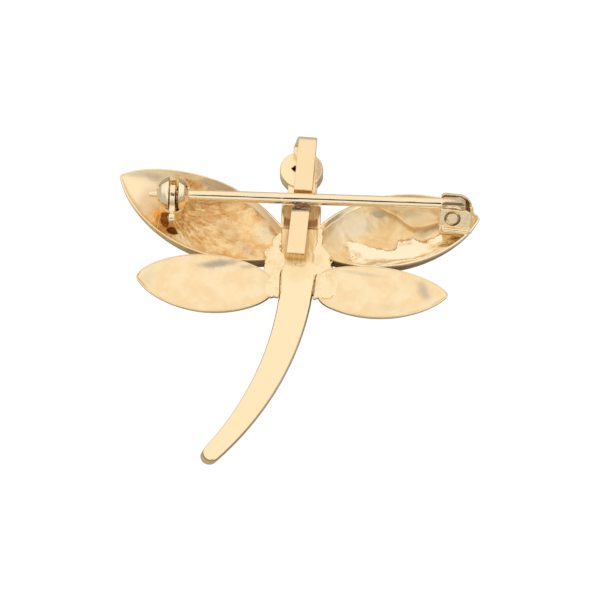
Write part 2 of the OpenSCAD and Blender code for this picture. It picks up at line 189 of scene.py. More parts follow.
def piece(name, points, faces, paint, body="frame", node="brooch_body", slot="body_gold", crease=40,
          flat=False):
    """A closed mesh from points in mm, smooth but for edges sharper than crease degrees.
    Where flat, the large faces keep their own normals and the narrow rounded edges bend to meet them."""
    mesh = bpy.data.meshes.new(name)
    mesh.from_pydata(np.asarray(points, float).reshape(-1, 3) * MM, [], np.asarray(faces).tolist())
    work = bmesh.new()
    work.from_mesh(mesh)
    bmesh.ops.remove_doubles(work, verts=work.verts, dist=0.002 * MM)
    bmesh.ops.dissolve_degenerate(work, edges=work.edges, dist=0.0005 * MM)
    bmesh.ops.recalc_face_normals(work, faces=work.faces)
    work.to_mesh(mesh)
    work.free()
    mesh.shade_smooth()
    mesh.set_sharp_from_angle(angle=radians(crease))
    mesh.materials.append(paint)
    made = bpy.data.objects.new(name, mesh)
    bpy.context.scene.collection.objects.link(made)
    if flat:
        made.modifiers.new("flat_faces", "WEIGHTED_NORMAL").keep_sharp = True
    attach(made, body)
    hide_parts(node)
    return made


def woven(rows, columns, around=True):
    """Faces between the points of a grid; each row closes into a ring where asked."""
    index = np.arange(rows * columns).reshape(rows, columns)
    if around:
        index = np.c_[index, index[:, :1]]
    corners = (index[:-1, :-1], index[:-1, 1:], index[1:, 1:], index[1:, :-1])
    return np.stack(corners, -1).reshape(-1, 4)


# Wings: four leaves of sheet gold, stamped into bowls. The upper two are deep and rough inside, where the
# polisher's wheel didn't reach. The lower two are shallow and polished all over.
# A wing's own frame has x from its middle to its tip, y to its leading edge and z = 0 at its rim.
PLATE_LENGTH = 7.3
TAIL_Y = 2.18
RIM = 3.2
UPPER_ROOT_Y = TAIL_Y + 0.6 * PLATE_LENGTH
LOWER_ROOT_Y = TAIL_Y - 0.11 * PLATE_LENGTH
UPPER = dict(top=RIM, rim=0.25, depth=3.2, rise=2.7, floor=0.55, inner_rise=2.7, dip=-0.35, ends=(0, 0),
             inside=((2.6, 1.0), (2.6, 2.2)), outside=((2.8, 2.8), (2.8, 2.8)), stations=300, ribs=120)
LOWER = dict(top=3.7, rim=0.16, depth=1.6, rise=1.1, floor=1.2, inner_rise=0.25, dip=0.0, deepest=-0.05,
             inside=((2.4, 1.0), (2.4, 1.0)), outside=((2.4, 2.4), (2.4, 2.4)), stations=180, ribs=60)
WINGS = {
    "wing_upper_left": dict(
        UPPER, side=-1, slant=25.6, root=(-0.36, UPPER_ROOT_Y - 0.5), span=23.41, deepest=-0.14,
        lead=4.91, trail=5.23, full=dict(lead=1.075, trail=1.03)),
    "wing_upper_right": dict(
        UPPER, side=1, slant=13.4, root=(1.22, UPPER_ROOT_Y + 0.43), span=20.79, deepest=-0.1,
        lead=5.34, trail=4.62, full=dict(lead=1.085, trail=1.045)),
    "wing_lower_left": dict(
        LOWER, side=-1, slant=3.4, root=(-1.41, LOWER_ROOT_Y - 0.51), span=17.5, ends=(1.0, 0.3),
        lead=3.83, trail=4.06, full=dict(lead=1.075, trail=1.045)),
    "wing_lower_right": dict(
        LOWER, side=1, slant=-3.5, root=(0.15, LOWER_ROOT_Y + 0.44), span=17.9, ends=(2.4, 0.1),
        lead=3.05, trail=3.99, full=dict(lead=1.08, trail=1.055)),
}


def wing_axes(w):
    """The wing's middle and the turn of its frame, in the brooch's frame."""
    a = radians(w["slant"])
    along = np.array([w["side"] * cos(a), sin(a), 0.0])
    across = np.array([-w["side"] * sin(a), cos(a), 0.0])
    return np.array([*w["root"], w["top"]]) + along * w["span"] / 2, along, across


def wing_paint(name):
    w = WINGS[name]
    middle, along, _ = wing_axes(w)
    paint = Paint(name + "_gold", middle, atan2(along[1], along[0]))
    paint.y = paint.y * w["side"]
    return w, paint


def edge_arc(w, edge):
    """Radius of the arc that is a leaf's edge, and how far its centre is past the chord."""
    half, height = w["span"] / 2 * w["full"][edge], w[edge]
    radius = (half ** 2 + height ** 2) / (2 * height)
    return radius, radius - height


def edge_line(w, edge, x, inset):
    """How far an edge is from its chord at x, once it is moved in by inset."""
    radius, past = edge_arc(w, edge)
    return np.sqrt(np.maximum((radius - inset) ** 2 - x ** 2, 0)) - past


def from_edge(paint, w, edge):
    """How far inside an edge a place is, in a material."""
    radius, past = edge_arc(w, edge)
    return radius - paint.x.hypot(paint.y * (1 if edge == "lead" else -1) + past)


def swell(w, x, depth, rise):
    """Depth of the bowl along its middle line: a parabola, deepest at its own place, shallow at the tip."""
    reach = w["span"] * (0.5 - w["deepest"])
    return depth - rise * ((x - w["span"] * w["deepest"]) / reach) ** 2


def bowl_half(w, along, across, inset, depth, rise, shapes, dip=0.0, push=None):
    """One side of the shell: z = -depth (1 - u^m)^(1/n), where u runs from the deepest line to an edge.
    Each edge has its own m and n: 2 and 1 is a shallow dish, 3 and 3 a flat floor with an upright wall.
    Both edges are arcs that would meet beyond the tip; sqrt(1 - share^16) rounds them off there."""
    x = (w["span"] / 2 - inset) * along
    share = np.where(along > 0, along / along[-1], along / along[0])
    blunt = np.sqrt(np.maximum(1 - share ** 16, 0))
    lead, trail = (np.maximum(edge_line(w, edge, x, inset), 0) * blunt for edge in ("lead", "trail"))
    u = np.abs(np.sin(across))
    down = np.empty_like(u)
    for side, (m, n) in zip((across >= 0, across < 0), shapes):
        down[side] = np.maximum(1 - u[side] ** m, 0) ** (1 / n)
    s = np.where(across >= 0, dip + (1 - dip) * u, dip - (1 + dip) * u)
    y = ((lead - trail) / 2)[:, None] + ((lead + trail) / 2)[:, None] * s
    z = -np.maximum(swell(w, x, depth, rise), 0.02)[:, None] * down
    z = z * np.minimum(1, blunt * 1.5)[:, None]
    x = np.broadcast_to(x[:, None], y.shape)
    if push is not None:
        z = z + push(x, y) * (down * blunt[:, None]) ** 0.5
    return np.stack([x, y, z], -1)


def wing(name, w, paint, push):
    """A closed shell: the inside, over the leading rim, the outside, and back over the trailing rim."""
    root, tip = (1 - 2 * cut_off / w["span"] for cut_off in w["ends"])
    along = (tip - root) / 2 - (tip + root) / 2 * np.cos(np.linspace(0, pi, w["stations"]))
    inner = bowl_half(w, along, np.linspace(-pi / 2, pi / 2, w["ribs"]), w["rim"], w["depth"] - w["floor"],
                      w["inner_rise"], w["inside"], w["dip"], push)
    outer = bowl_half(w, along, np.linspace(pi / 2, -pi / 2, 44), 0.0, w["depth"], w["rise"], w["outside"])
    turn = np.linspace(0, pi, 9)[1:-1]
    share = ((1 - np.cos(turn)) / 2)[None, :, None]
    crown = np.array([0, 0, 1]) * (0.4 * w["rim"] * np.sin(turn))[None, :, None]
    front = inner[:, -1:] * (1 - share) + outer[:, :1] * share + crown
    back = outer[:, -1:] * (1 - share) + inner[:, :1] * share + crown
    rings = np.concatenate([inner, front, outer, back], 1)
    middle, forward, sideways = wing_axes(w)
    world = middle + rings[..., :1] * forward + rings[..., 1:2] * sideways + rings[..., 2:] * [0, 0, 1]
    return piece(name, world, woven(*rings.shape[:2]), paint, crease=60)


def near_line(x, y, route):
    """Distance from x, y to a route of straight stretches."""
    best = np.full(np.broadcast(x, y).shape, 99.0)
    for (ax, ay), (bx, by) in zip(route[:-1], route[1:]):
        length = (bx - ax) ** 2 + (by - ay) ** 2
        t = np.clip(((x - ax) * (bx - ax) + (y - ay) * (by - ay)) / length, 0, 1)
        best = np.minimum(best, np.hypot(x - ax - t * (bx - ax), y - ay - t * (by - ay)))
    return best


def hammered(x, y):
    """Slow waves that the punch left in the sheet."""
    waves = 0.035 * np.sin(1.1 * x + 0.7 * y) * np.sin(0.5 * x - 1.3 * y + 1)
    return waves + 0.02 * np.sin(2.3 * y + 0.9 * x)


# Upper left wing: the wheel reached its tip and the wall under the leading edge. The rest is file-marked,
# painted orange-brown for the bowl's reflections of itself, with flux stains and painted shade round the
# catch.
FILED_FROM = (6.0, -0.2)
LEFT_MARKS = [
    (2.6, 1.6, 0.9, 0.45, 0.1, 0.5, (0.86, 0.74, 0.34)),
    (0.9, 4.35, 2.4, 0.5, -0.16, 0.8, (0.6, 0.5, 0.36)),
    (7.5, 1.0, 0.8, 1.0, 0.0, 0.6, (0.66, 0.46, 0.38)),
    (-6.2, -0.9, 1.5, 0.55, 0.1, 0.45, (0.68, 0.5, 0.34)),
    (-6.9, 1.7, 1.2, 0.8, 0.2, 0.55, (0.93, 0.8, 0.56)),
    (1.3, -3.2, 1.7, 0.5, 0.45, 0.7, (1.0, 0.84, 0.55)),
    (-2.6, 0.4, 2.2, 0.9, 0.2, 0.35, (0.66, 0.44, 0.22)),
    # A painted shadow of the pin: a long brown band across the bowl under it.
    (-0.6, 3.0, 2.6, 0.35, -0.35, 0.5, (0.6, 0.35, 0.14)),
    (3.9, 0.2, 1.0, 0.35, 0.1, 0.6, (0.5, 0.26, 0.08)),
    (-10.0, 0.6, 1.3, 0.45, 0.5, 0.9, (0.5, 0.22, 0.07)),
]
# Painted reflections of the catch's underside in the bowl below it: one orange patch and two deep brown ones.
CATCH_REFLECTIONS = [
    (5.6, -1.75, 0.5, 0.75, 0.3, 1.0, (1.0, 0.5, 0.12)),
    (4.6, -1.95, 1.05, 0.46, 0.85, 0.95, (0.24, 0.075, 0.015)),
    (3.1, -2.8, 0.62, 0.6, 0.2, 1.0, (0.15, 0.05, 0.012)),
]


def filed(x, y):
    """The hammered sheet, and a file's strokes that fan out from the catch: sines of the angle."""
    angle = np.arctan2(y - FILED_FROM[1], FILED_FROM[0] - x)
    zone = np.exp(-(((x - 1.8) / 2.2) ** 2) - ((y + 1.0) / 1.5) ** 2)
    strokes = np.sin(angle * 62 + 1.5 * np.sin(2.1 * x)) + 0.6 * np.sin(angle * 101 + x)
    return hammered(x, y) + 0.06 * zone * strokes


w, paint = wing_paint("wing_upper_left")
cloud, fine = paint.noise(1.5, 5.0, 0.66), paint.noise(0.3, 4.0, 0.62)
wall = paint.step(from_edge(paint, w, "lead") + (cloud - 0.5) * 0.25, 0.72, 0.66)
polish = wall.math("MAXIMUM", paint.step(paint.x + paint.y * 0.15 + (cloud - 0.5) * 2.0, 5.2, 7.4))
angle = (paint.y - FILED_FROM[1]).math("ARCTAN2", FILED_FROM[0] - paint.x)
strokes = paint.drawn(angle * 16.0, paint.x * 0.4, 0.0, 2.5, 0.55)
stroked = paint.spot(1.9, -0.8, 2.7, 1.3, 0.25, edge=0.6)
low = paint.step(from_edge(paint, w, "trail") + (cloud - 0.5) * 1.8, 2.4, 0.5)
# The orange-brown base is painted reflection: it stands in for the bowl's reflections of itself.
brown = paint.laid(
    gold(0.8, 0.57, 0.34),
    (paint.step(cloud, 0.36, 0.64), gold(0.99, 0.87, 0.7)),
    (low * 0.7, gold(1.02, 0.96, 0.84)),
    (paint.step(fine, 0.5, 0.72) * 0.35, gold(0.82, 0.6, 0.38)),
    (paint.step(strokes, 0.5, 0.68) * 0.4, gold(1.04, 0.98, 0.88)),
    (stroked * paint.step(strokes, 0.5, 0.4) * 0.75, gold(0.56, 0.33, 0.15)))
brown = paint.marked(paint.marked(brown, LEFT_MARKS), CATCH_REFLECTIONS, 0.14)
glaze = paint.spot(4.3, -2.1, 1.4, 1.0, 0.7, edge=0.2) * paint.step(paint.noise(0.35, 4.0, 0.7), 0.52, 0.62)
dull = (1 - paint.spot(0.9, 4.35, 2.4, 0.5, -0.16, wander=0.3)) * (1 - paint.spot(4.9, -1.9, 1.5, 1.3))
# Painted pinkish shade next to the ball.
shade_beside_ball = paint.spot(7.3, -0.4, 1.1, 2.1, 0.15, edge=0.7, wander=1.2, lump=1.2)
colour = paint.laid(
    brown,
    (glaze * 0.75, (0.55, 0.24, 0.05)),
    (polish * dull, gold(1.02, 1.02, 1.04)),
    (shade_beside_ball * 0.6, gold(0.8, 0.66, 0.57)))
rough = 0.28 + polish * 0.08 + (fine - 0.5) * 0.08
bump = (strokes * 0.6 + fine * 0.05 + paint.noise(1.5, 1.5) * 2.0) * (1 - polish * 0.8)
wing("wing_upper_left", w, paint.finish(colour, rough, bump, 0.12), filed)

# Upper right wing: a grey, finely brushed bowl at its root, an S-shaped ridge where the sheet wrinkled,
# and a bright patch along the trailing edge with a jagged border.
S_RIDGE = [(-2.5, 4.6), (-1.0, 4.2), (1.0, 3.0), (2.05, 1.75), (2.75, 1.2), (3.9, 1.0), (5.7, 0.95)]
BUBBLE = (-5.2, -0.65)
BRIGHT_BORDER = [(-5.6, 1.4), (-3.7, 0.8), (-1.65, -0.4), (-0.5, -0.8), (0.25, -0.55), (0.65, 0.3),
                 (2.5, 0.1), (3.5, -0.75), (5.7, -0.2)]
RIGHT_MARKS = [
    (-4.7, 2.8, 2.7, 1.4, 0.1, 0.7, (0.9, 0.77, 0.56)),
    (-1.1, 3.65, 0.85, 0.33, -0.25, 0.85, (0.5, 0.43, 0.32)),
    (-0.6, 1.6, 1.0, 1.1, -0.3, 0.7, (0.93, 0.62, 0.28)),
    (-1.9, 0.45, 1.9, 0.5, -0.4, 0.75, (0.9, 0.58, 0.26)),
    (-7.1, 1.4, 1.2, 1.3, 0.0, 0.6, (0.78, 0.56, 0.32)),
    (-4.6, 0.3, 0.35, 2.3, 0.4, 0.5, (0.74, 0.5, 0.26)),
    (3.6, 2.2, 1.9, 0.7, -0.1, 0.7, (1.02, 0.86, 0.56)),
    (4.4, 0.5, 1.7, 0.4, 0.1, 0.75, (0.66, 0.5, 0.3)),
]


def wrinkled(x, y):
    """The hammered sheet, with a ridge along the S and rings round a burst bubble."""
    far = near_line(x, y, S_RIDGE)
    ring = np.hypot(x - BUBBLE[0], (y - BUBBLE[1]) * 1.4)
    rings = 0.06 * np.cos(ring * 13) * np.exp(-((ring / 0.8) ** 2))
    ridge = 0.26 * np.exp(-((far / 0.25) ** 2)) + 0.1 * np.exp(-((far / 0.8) ** 2))
    return hammered(x + 3, y) + ridge + rings


w, paint = wing_paint("wing_upper_right")
cloud, fine = paint.noise(1.3, 5.0, 0.66), paint.noise(0.28, 4.0, 0.62)
jagged = paint.noise(0.6, 6.0, 0.72)
wall = paint.step(from_edge(paint, w, "lead") + (cloud - 0.5) * 0.2, 0.6, 0.54)
past_border = paint.y - paint.followed(BRIGHT_BORDER, -2.0, 2.0) + (jagged - 0.5) * 1.5
low = paint.step(past_border, 0.06, -0.06) * paint.step(paint.x + (jagged - 0.5) * 2.5, -5.7, -5.2)
under_hinge = paint.spot(6.4, -1.75, 1.5, 0.62, 0.1, edge=0.35, wander=0.8)
polish = wall.math("MAXIMUM", low) * (1 - under_hinge)
# Painted shade: a brown line along one side of the S ridge.
ridge = paint.near(paint.y - paint.followed(S_RIDGE, 0.0, 6.0) + 0.15 + (fine - 0.5) * 0.3, 0.5, 0.05)
ridge = ridge * paint.step(paint.x + (cloud - 0.5) * 2, -2.6, 0.4)
burnt = paint.mix(paint.step(paint.streaks(1.2, 0.25), 0.45, 0.6), (0.55, 0.3, 0.1), gold(1.04, 0.96, 0.8))
burst = paint.spot(*BUBBLE, 1.1, 0.8, edge=0.2, wander=0.9)
burst = burst * (1 - paint.spot(*BUBBLE, 0.62, 0.42, edge=0.2, wander=0.9))
# Painted reflection: the outer wall under the trailing rim is made olive and darker, for what it reflects
# there.
outer = paint.step(from_edge(paint, w, "trail"), 0.6, 0.3) * paint.step(paint.z, -0.12, -0.35)
brown = paint.laid(
    gold(0.96, 0.82, 0.62),
    (paint.step(cloud, 0.36, 0.64), gold(1.04, 1.0, 0.92)),
    (paint.step(fine, 0.52, 0.72) * 0.3, gold(0.86, 0.7, 0.5)))
colour = paint.laid(
    paint.marked(brown, RIGHT_MARKS),
    (ridge * 0.75, gold(0.55, 0.38, 0.2)),
    (under_hinge * 0.9, burnt),
    (polish * (1 - burst * 0.7), gold(1.03, 1.07, 1.18)),
    (paint.near(past_border, 0.16, 0.05) * paint.step(paint.x, -4.0, -2.0) * 0.6, gold(0.62, 0.42, 0.22)),
    (outer, gold(0.56, 0.45, 0.33)),
    (paint.step(paint.x, 8.2, 9.0) * 0.8, gold(1.04, 1.14, 1.34)))
rough = 0.42 - polish * 0.27 + (fine - 0.5) * 0.06
bump = (paint.streaks(1.6, 0.16) * 0.07 + fine * 0.03 + paint.noise(1.5, 1.5) * 1.8) * (1 - polish * 0.6)
wing("wing_upper_right", w, paint.finish(colour, rough, bump + low * 0.8, 0.12), wrinkled)

# Lower wings: shallow dishes, polished bright, with a few grey stains and the faint lines of the wheel.
# Solder has run up over their inner ends, so each dish is filled up a little towards its root.
LOWER_STAINS = {
    "wing_lower_left": [
        (-0.9, 2.75, 2.0, 0.42, -0.2, 0.95, (0.44, 0.37, 0.27)),
        (-4.3, 2.6, 0.8, 0.25, 0.0, 0.6, (0.5, 0.42, 0.3)),
        (7.0, 0.3, 0.6, 1.2, 0.2, 0.25, (0.6, 0.52, 0.4)),
        (-7.0, 0.9, 0.6, 1.0, 0.3, 0.3, (0.72, 0.58, 0.38))],
    "wing_lower_right": [
        (6.0, 0.3, 0.6, 1.15, 0.55, 0.7, (0.5, 0.4, 0.28)),
        (-1.4, 2.0, 2.2, 0.22, -0.05, 0.5, (0.6, 0.5, 0.36)),
        (-4.9, 0.9, 0.8, 1.3, 0.2, 0.25, (0.7, 0.56, 0.36)),
        (2.2, -2.2, 1.6, 0.5, 0.1, 0.25, (0.7, 0.56, 0.38))],
}


def filled(x, y):
    """The hammered dish, filled up towards its root."""
    return hammered(x, y) + 0.2 * np.clip((-x - 4.0) / 2.6, 0, 1) ** 2


for name, stains in LOWER_STAINS.items():
    w, paint = wing_paint(name)
    cloud, fine = paint.noise(2.4, 4.0, 0.6), paint.noise(0.3, 4.0, 0.6)
    colour = paint.mix(paint.step(cloud, 0.35, 0.65), gold(0.95, 0.87, 0.77), gold(0.99, 0.98, 0.98))
    colour = paint.mix(paint.step(fine, 0.6, 0.75) * 0.2, colour, gold(0.9, 0.8, 0.62))
    colour = paint.marked(colour, stains, 0.75)
    bump = paint.streaks(2.5, 0.15) * 0.06 + cloud * 0.7
    wing(name, w, paint.finish(colour, 0.19 + (cloud - 0.5) * 0.1, bump, 0.05), filled)

# Tail and body plate: one strip of 1.3 mm sheet, sawn to a curve with a round tip. It is flat behind the
# wings, and bends down at its root so that its tip touches the table.
PLATE_Z = 3.6
PLATE = 1.3
TAIL_LENGTH = 23.3
TAIL_SWING = 8.9
TAIL_ROOT = 3.9
TAIL_TIP = 2.08
TAIL_CURVE = 37.2
TAIL_LEAN = 0.3
THORAX_W = 4.7
THORAX_X = 0.07 * THORAX_W
EDGE = 0.24
STRIP_W = 2.15
FOOT_Y = TAIL_Y + 0.4 * PLATE_LENGTH
LOOP_X = -0.013 * THORAX_W
LOOP_LEAN = radians(-3.3)


def centre_of(p, q, r):
    """Centre of the circle of radius r through p and q, on the left of the way from p to q."""
    d = q - p
    length = np.hypot(*d)
    return (p + q) / 2 + np.array([-d[1], d[0]]) / length * sqrt(r * r - length * length / 4)


def arc_between(p, q, centre, share):
    """Points on the circle round centre, from p to q, at those shares of the way."""
    a = atan2(*(p - centre)[::-1])
    b = atan2(*(q - centre)[::-1])
    turn = a + (b - a) * share
    return centre + np.hypot(*(p - centre)) * np.stack([np.cos(turn), np.sin(turn)], -1)


def plate(outline, spine, thick, edge, lean):
    """A flat plate with rounded edges: a ring for each place on the outline, from the spine over the edge to
    the spine again underneath. Outline and spine carry their own heights; the plate hangs thick below, and
    its underside is moved by lean."""
    ahead = np.roll(outline, -1, 0) - np.roll(outline, 1, 0)
    outward = np.stack([ahead[:, 1], -ahead[:, 0], 0 * ahead[:, 0]], -1)
    outward = outward / np.linalg.norm(outward, axis=1, keepdims=True)
    outward = outward * np.sign((outward * (outline - spine)).sum(1, keepdims=True))
    turn = np.linspace(0, pi / 2, 9)
    rows = [spine]
    rows += [outline - outward * edge * (1 - sin(a)) - [0, 0, edge * (1 - cos(a))] for a in turn]
    rows += [outline - outward * edge * (1 - cos(a)) - [0, 0, thick - edge * (1 - sin(a))] for a in turn]
    rows += [spine - [0, 0, thick]]
    rings = np.stack(rows, 1)
    below = np.clip((rings[:, :1, 2] - rings[..., 2] - edge) / (thick - 2 * edge), 0, 1)
    rings = rings + below[..., None] * lean[:, None]
    return rings, woven(len(rings) + 1, len(rows), around=False) % (len(rings) * len(rows))


tip_r = TAIL_TIP / 2
root_c = np.array([0.07 * TAIL_ROOT, TAIL_Y])
tip_c = np.array([root_c[0] - TAIL_SWING, TAIL_Y - TAIL_LENGTH + tip_r])
out = (tip_c - centre_of(tip_c, root_c, TAIL_CURVE)) / TAIL_CURVE
root_half = np.array([TAIL_ROOT / 2, 0])
pairs = [(tip_c - out * tip_r, root_c - root_half), (tip_c + out * tip_r, root_c + root_half)]
sides = [arc_between(q, p, centre_of(p, q, TAIL_CURVE), np.linspace(0, 1, 60)) for p, q in pairs]
# The round tip: a half circle from side to side
ahead = np.array([out[1], -out[0]])
ahead = ahead * np.sign(ahead @ (tip_c - root_c))
turn = np.linspace(pi / 2, -pi / 2, 30)[1:-1, None]
tip = tip_c + tip_r * (np.cos(turn) * ahead - np.sin(turn) * out)
# The flat stretch behind the wings widens to the thorax
flat_share = np.linspace(0, 1, 20)[:-1, None]
corners = [np.array([THORAX_X + s * 0.49 * THORAX_W, TAIL_Y + PLATE_LENGTH]) for s in (-1, 1)]
flat = [t + (r - t) * flat_share for t, r in zip(corners, (root_c - root_half, root_c + root_half))]
left, right = (np.concatenate(pair) for pair in zip(flat, sides))
if np.linalg.norm(tip[0] - left[-1]) > np.linalg.norm(tip[0] - right[-1]):
    tip = tip[::-1]
outline = np.concatenate([left, tip, right[::-1]])
spine = (left + right) / 2
spine = np.concatenate([spine, np.broadcast_to(tip_c, tip.shape), spine[::-1]])
slope = asin((PLATE_Z - PLATE) / TAIL_LENGTH)


def bent_down(plan):
    """Lifts plan points to the plate's back, which slopes down behind the tail's root."""
    return np.c_[plan, PLATE_Z + np.minimum(plan[:, 1] - TAIL_Y, 0) * tan(slope)]


paint = Paint("tail_gold")
cloud, fine = paint.noise(3.0, 4.0, 0.55), paint.noise(0.25, 4.0, 0.62)
jagged = paint.noise(1.2, 5.0, 0.65)
pull = paint.drawn(paint.x * 4.0, paint.y * 0.5, 0.0)
dull = paint.step(paint.y + (jagged - 0.5) * 1.6, 3.9, 4.9)
speck = paint.step(fine, 0.62, 0.72) * paint.step(paint.y, -6.0, -12.0)
smear = paint.spot(0.3, 3.6, 1.7, 1.5, wander=1.6, edge=0.6)
# Painted shadow of the loop's foot on the plate, along both sides of the strip.
foot_shadow = (paint.x - LOOP_X + (paint.y - FOOT_Y) * sin(LOOP_LEAN)).math("ABSOLUTE") - STRIP_W / 2
foot_shadow = paint.step(foot_shadow + (jagged - 0.5) * 0.3, 0.42, 0.08) * paint.step(paint.y, FOOT_Y - 0.5, FOOT_Y)
down = (paint.y - TAIL_Y).math("MINIMUM", 0.0) * tan(slope) + PLATE_Z - paint.z
# Painted reflection: a deep brown line along the side wall near the tip, for the rounded edge's dim
# reflection.
line = paint.near(down - 0.2, 0.12, 0.04) * paint.step(paint.y, -13.0, -19.0)
colour = paint.laid(
    gold(1.02, 0.99, 0.94),
    (cloud, gold(1.0, 1.02, 1.06)),
    (speck * 0.25, gold(0.9, 0.76, 0.52)),
    (smear * 0.45, gold(0.92, 0.8, 0.6)),
    (dull * 0.85, paint.mix(paint.step(pull, 0.35, 0.65), gold(0.74, 0.59, 0.38), gold(1.0, 0.92, 0.8))),
    (foot_shadow * 0.65, gold(0.56, 0.42, 0.26)),
    (paint.step(down, 0.15, 0.3), gold(1.0, 0.88, 0.66)),
    (line * 0.8, (0.2, 0.13, 0.06)))
rough = 0.14 + (cloud - 0.5) * 0.06 + dull * 0.24 + smear * 0.06
bump = cloud * 0.8 + smear * jagged * 0.8 + dull * pull * 2.0
lean = np.clip((TAIL_Y - outline[:, 1:]) / 23, 0, 1) ** 2 * [-TAIL_LEAN, 0, 0]
points, faces = plate(bent_down(outline), bent_down(spine), PLATE / cos(slope), EDGE, lean)
piece("tail_and_body_plate", points, faces, paint.finish(colour, rough, bump, 0.05), flat=True)

# Thorax: a stamped half round under the plate, open at the back above the plate's end.
# The open part is brown inside, where nobody polished it.
THORAX_R = THORAX_W / 2
THORAX_WALL = 0.3
SHALLOW = 4.5
THORAX_Z = RIM + 0.2
THORAX_AXIS = THORAX_Z - 0.17 * THORAX_R
PLATE_TOP = TAIL_Y + PLATE_LENGTH
THORAX_TOP = PLATE_TOP + 0.73 * THORAX_W
THORAX_LOW = TAIL_Y + 1.35 * THORAX_R


def cast(name, low, high, shape, paint, step=0.06, about=(0, 0, 0), **where):
    """A solid piece: the surface where shape(x, y, z), its distance from the metal, is zero. The shape's
    x, y and z run from the place about."""
    axes = [np.arange(a, b, step) - c for a, b, c in zip(low, high, about)]
    field = shape(*np.meshgrid(*axes, indexing="ij", sparse=True)).astype(np.float32)
    grid = openvdb.FloatGrid(step)
    grid.copyFromArray(field)
    points, quads = grid.convertToQuads(0.0)
    return piece(name, points * step + np.array(low), quads, paint, **where)


def ball(x, y, z, r):
    return np.sqrt(x * x + y * y + z * z) - r


def rounded(edge, *sides):
    """What is inside all the sides, its edges rounded: distance to the nearest of the moved-in sides."""
    moved = [side + edge for side in sides]
    outside = np.sqrt(sum(np.maximum(side, 0) ** 2 for side in moved))
    return outside + np.minimum(reduce(np.maximum, moved), 0) - edge


def rod(across, also, along, r, half, edge=0.1):
    """A round bar with rounded rims: its radius, and its half length along its axis."""
    return rounded(edge, np.hypot(across, also) - r, np.abs(along) - half)


def block(x, y, z, halves, edge=0.1):
    """A bar with those half sizes and rounded edges."""
    return rounded(edge, *(np.abs(v) - half for v, half in zip((x, y, z), halves)))


def joined(a, b, fillet):
    """Both solids, with a fillet of solder between them."""
    h = np.maximum(fillet - np.abs(a - b), 0) / fillet
    return np.minimum(a, b) - h * h * fillet / 4


def cut(a, b, edge):
    """The first solid without the second, with the edge broken."""
    return -joined(-a, b, edge)


def thorax(x, y, z):
    x = x - THORAX_X
    z = z - THORAX_AXIS
    along = np.maximum(THORAX_LOW - y, 0) + np.maximum(y - THORAX_TOP, 0)
    shell = np.where(y < THORAX_TOP, ball(x, np.maximum(THORAX_LOW - y, 0), z, THORAX_R), along)
    shell = np.maximum(shell, y - THORAX_TOP)
    shell = cut(shell, -(z - (THORAX_Z - THORAX_AXIS)), 0.14)
    middle, half = (PLATE_TOP + THORAX_TOP - THORAX_WALL) / 2, (THORAX_TOP - THORAX_WALL - PLATE_TOP) / 2
    trough = rod(x, (z - THORAX_Z + THORAX_AXIS) * SHALLOW, y - middle, THORAX_R - THORAX_WALL, half, 0.3)
    return cut(shell, trough, 0.12)


paint = Paint("thorax_gold")
cloud, fine = paint.noise(0.9, 5.0, 0.65), paint.noise(0.25, 4.0, 0.6)
inside = paint.step(paint.z, THORAX_Z - 0.03, THORAX_Z - 0.15) * paint.step(paint.y, PLATE_TOP - 1, PLATE_TOP)
pull = paint.drawn(paint.x * 4.0, paint.y * 0.5, 0.0)
brown = paint.mix(paint.step(pull, 0.38, 0.62), (1.0, 0.58, 0.22), (1.0, 0.75, 0.4))
# Painted shadow: a deep brown band across the trough, just above the plate's end.
dark = paint.near(paint.y + (cloud - 0.5) * 0.8 - PLATE_TOP - 0.95, 0.75, 0.3)
colour = paint.mix(inside, gold(1, 0.99, 0.96), paint.mix(dark * 0.85, brown, (0.45, 0.17, 0.04)))
rough = 0.18 + inside * 0.4 + (fine - 0.5) * 0.1
bump = (cloud * 1.5 + pull * 1.5 + fine * 0.3) * (0.15 + inside)
cast("thorax", (THORAX_X - 2.7, THORAX_LOW - 2.7, 0.4), (THORAX_X + 2.7, THORAX_TOP + 0.4, 3.8), thorax,
     paint.finish(colour, rough, bump, 0.08, bare=1.0 - inside * 0.7), 0.07)

# Head: a hollow ball, flattened and closed at the back with a disc that has a small vent hole, on a neck.
# The vent let the hot air out when the disc was soldered on.
HEAD_R = 2.58
HEAD_DOME = 3.0
DISC_EDGE = 0.22
HEAD_X = 0.025 * THORAX_W
HEAD_Y = THORAX_TOP + 0.05 * THORAX_W + 1.9 * HEAD_R
NECK_R = 1.75
NECK_TOP = RIM - 0.2 * NECK_R
VENT = 0.47
VENT_X = HEAD_X - 0.29 * HEAD_R
VENT_DEPTH = 1.2


def head(x, y, z):
    dome = ball(x - HEAD_X, y - HEAD_Y, z - RIM, HEAD_DOME)
    dome = np.maximum(dome, np.hypot(x - HEAD_X, y - HEAD_Y) - HEAD_R)
    disc = cut(dome, -(z - RIM), DISC_EDGE)
    half = (HEAD_Y - THORAX_TOP) / 2
    neck = rod(x - THORAX_X, z - NECK_TOP + 0.2 * NECK_R, y - THORAX_TOP - half, NECK_R, half + 0.2, 0.05)
    neck = cut(neck, -(z - NECK_TOP), 0.1)
    vent = np.maximum((np.abs(x - VENT_X) + np.abs(y - HEAD_Y) - VENT) * 0.7, RIM - VENT_DEPTH - z)
    return cut(joined(disc, neck, 0.35), vent, 0.06)


paint = Paint("head_gold")
cloud, fine = paint.noise(1.0, 5.0, 0.62), paint.noise(0.22, 4.0, 0.6)
# Painted shade on the head's right side, which is also left rougher.
shaded_right_side = paint.step(paint.x + (cloud - 0.5) * 0.8, HEAD_X + 1.4, HEAD_X + 2.1)
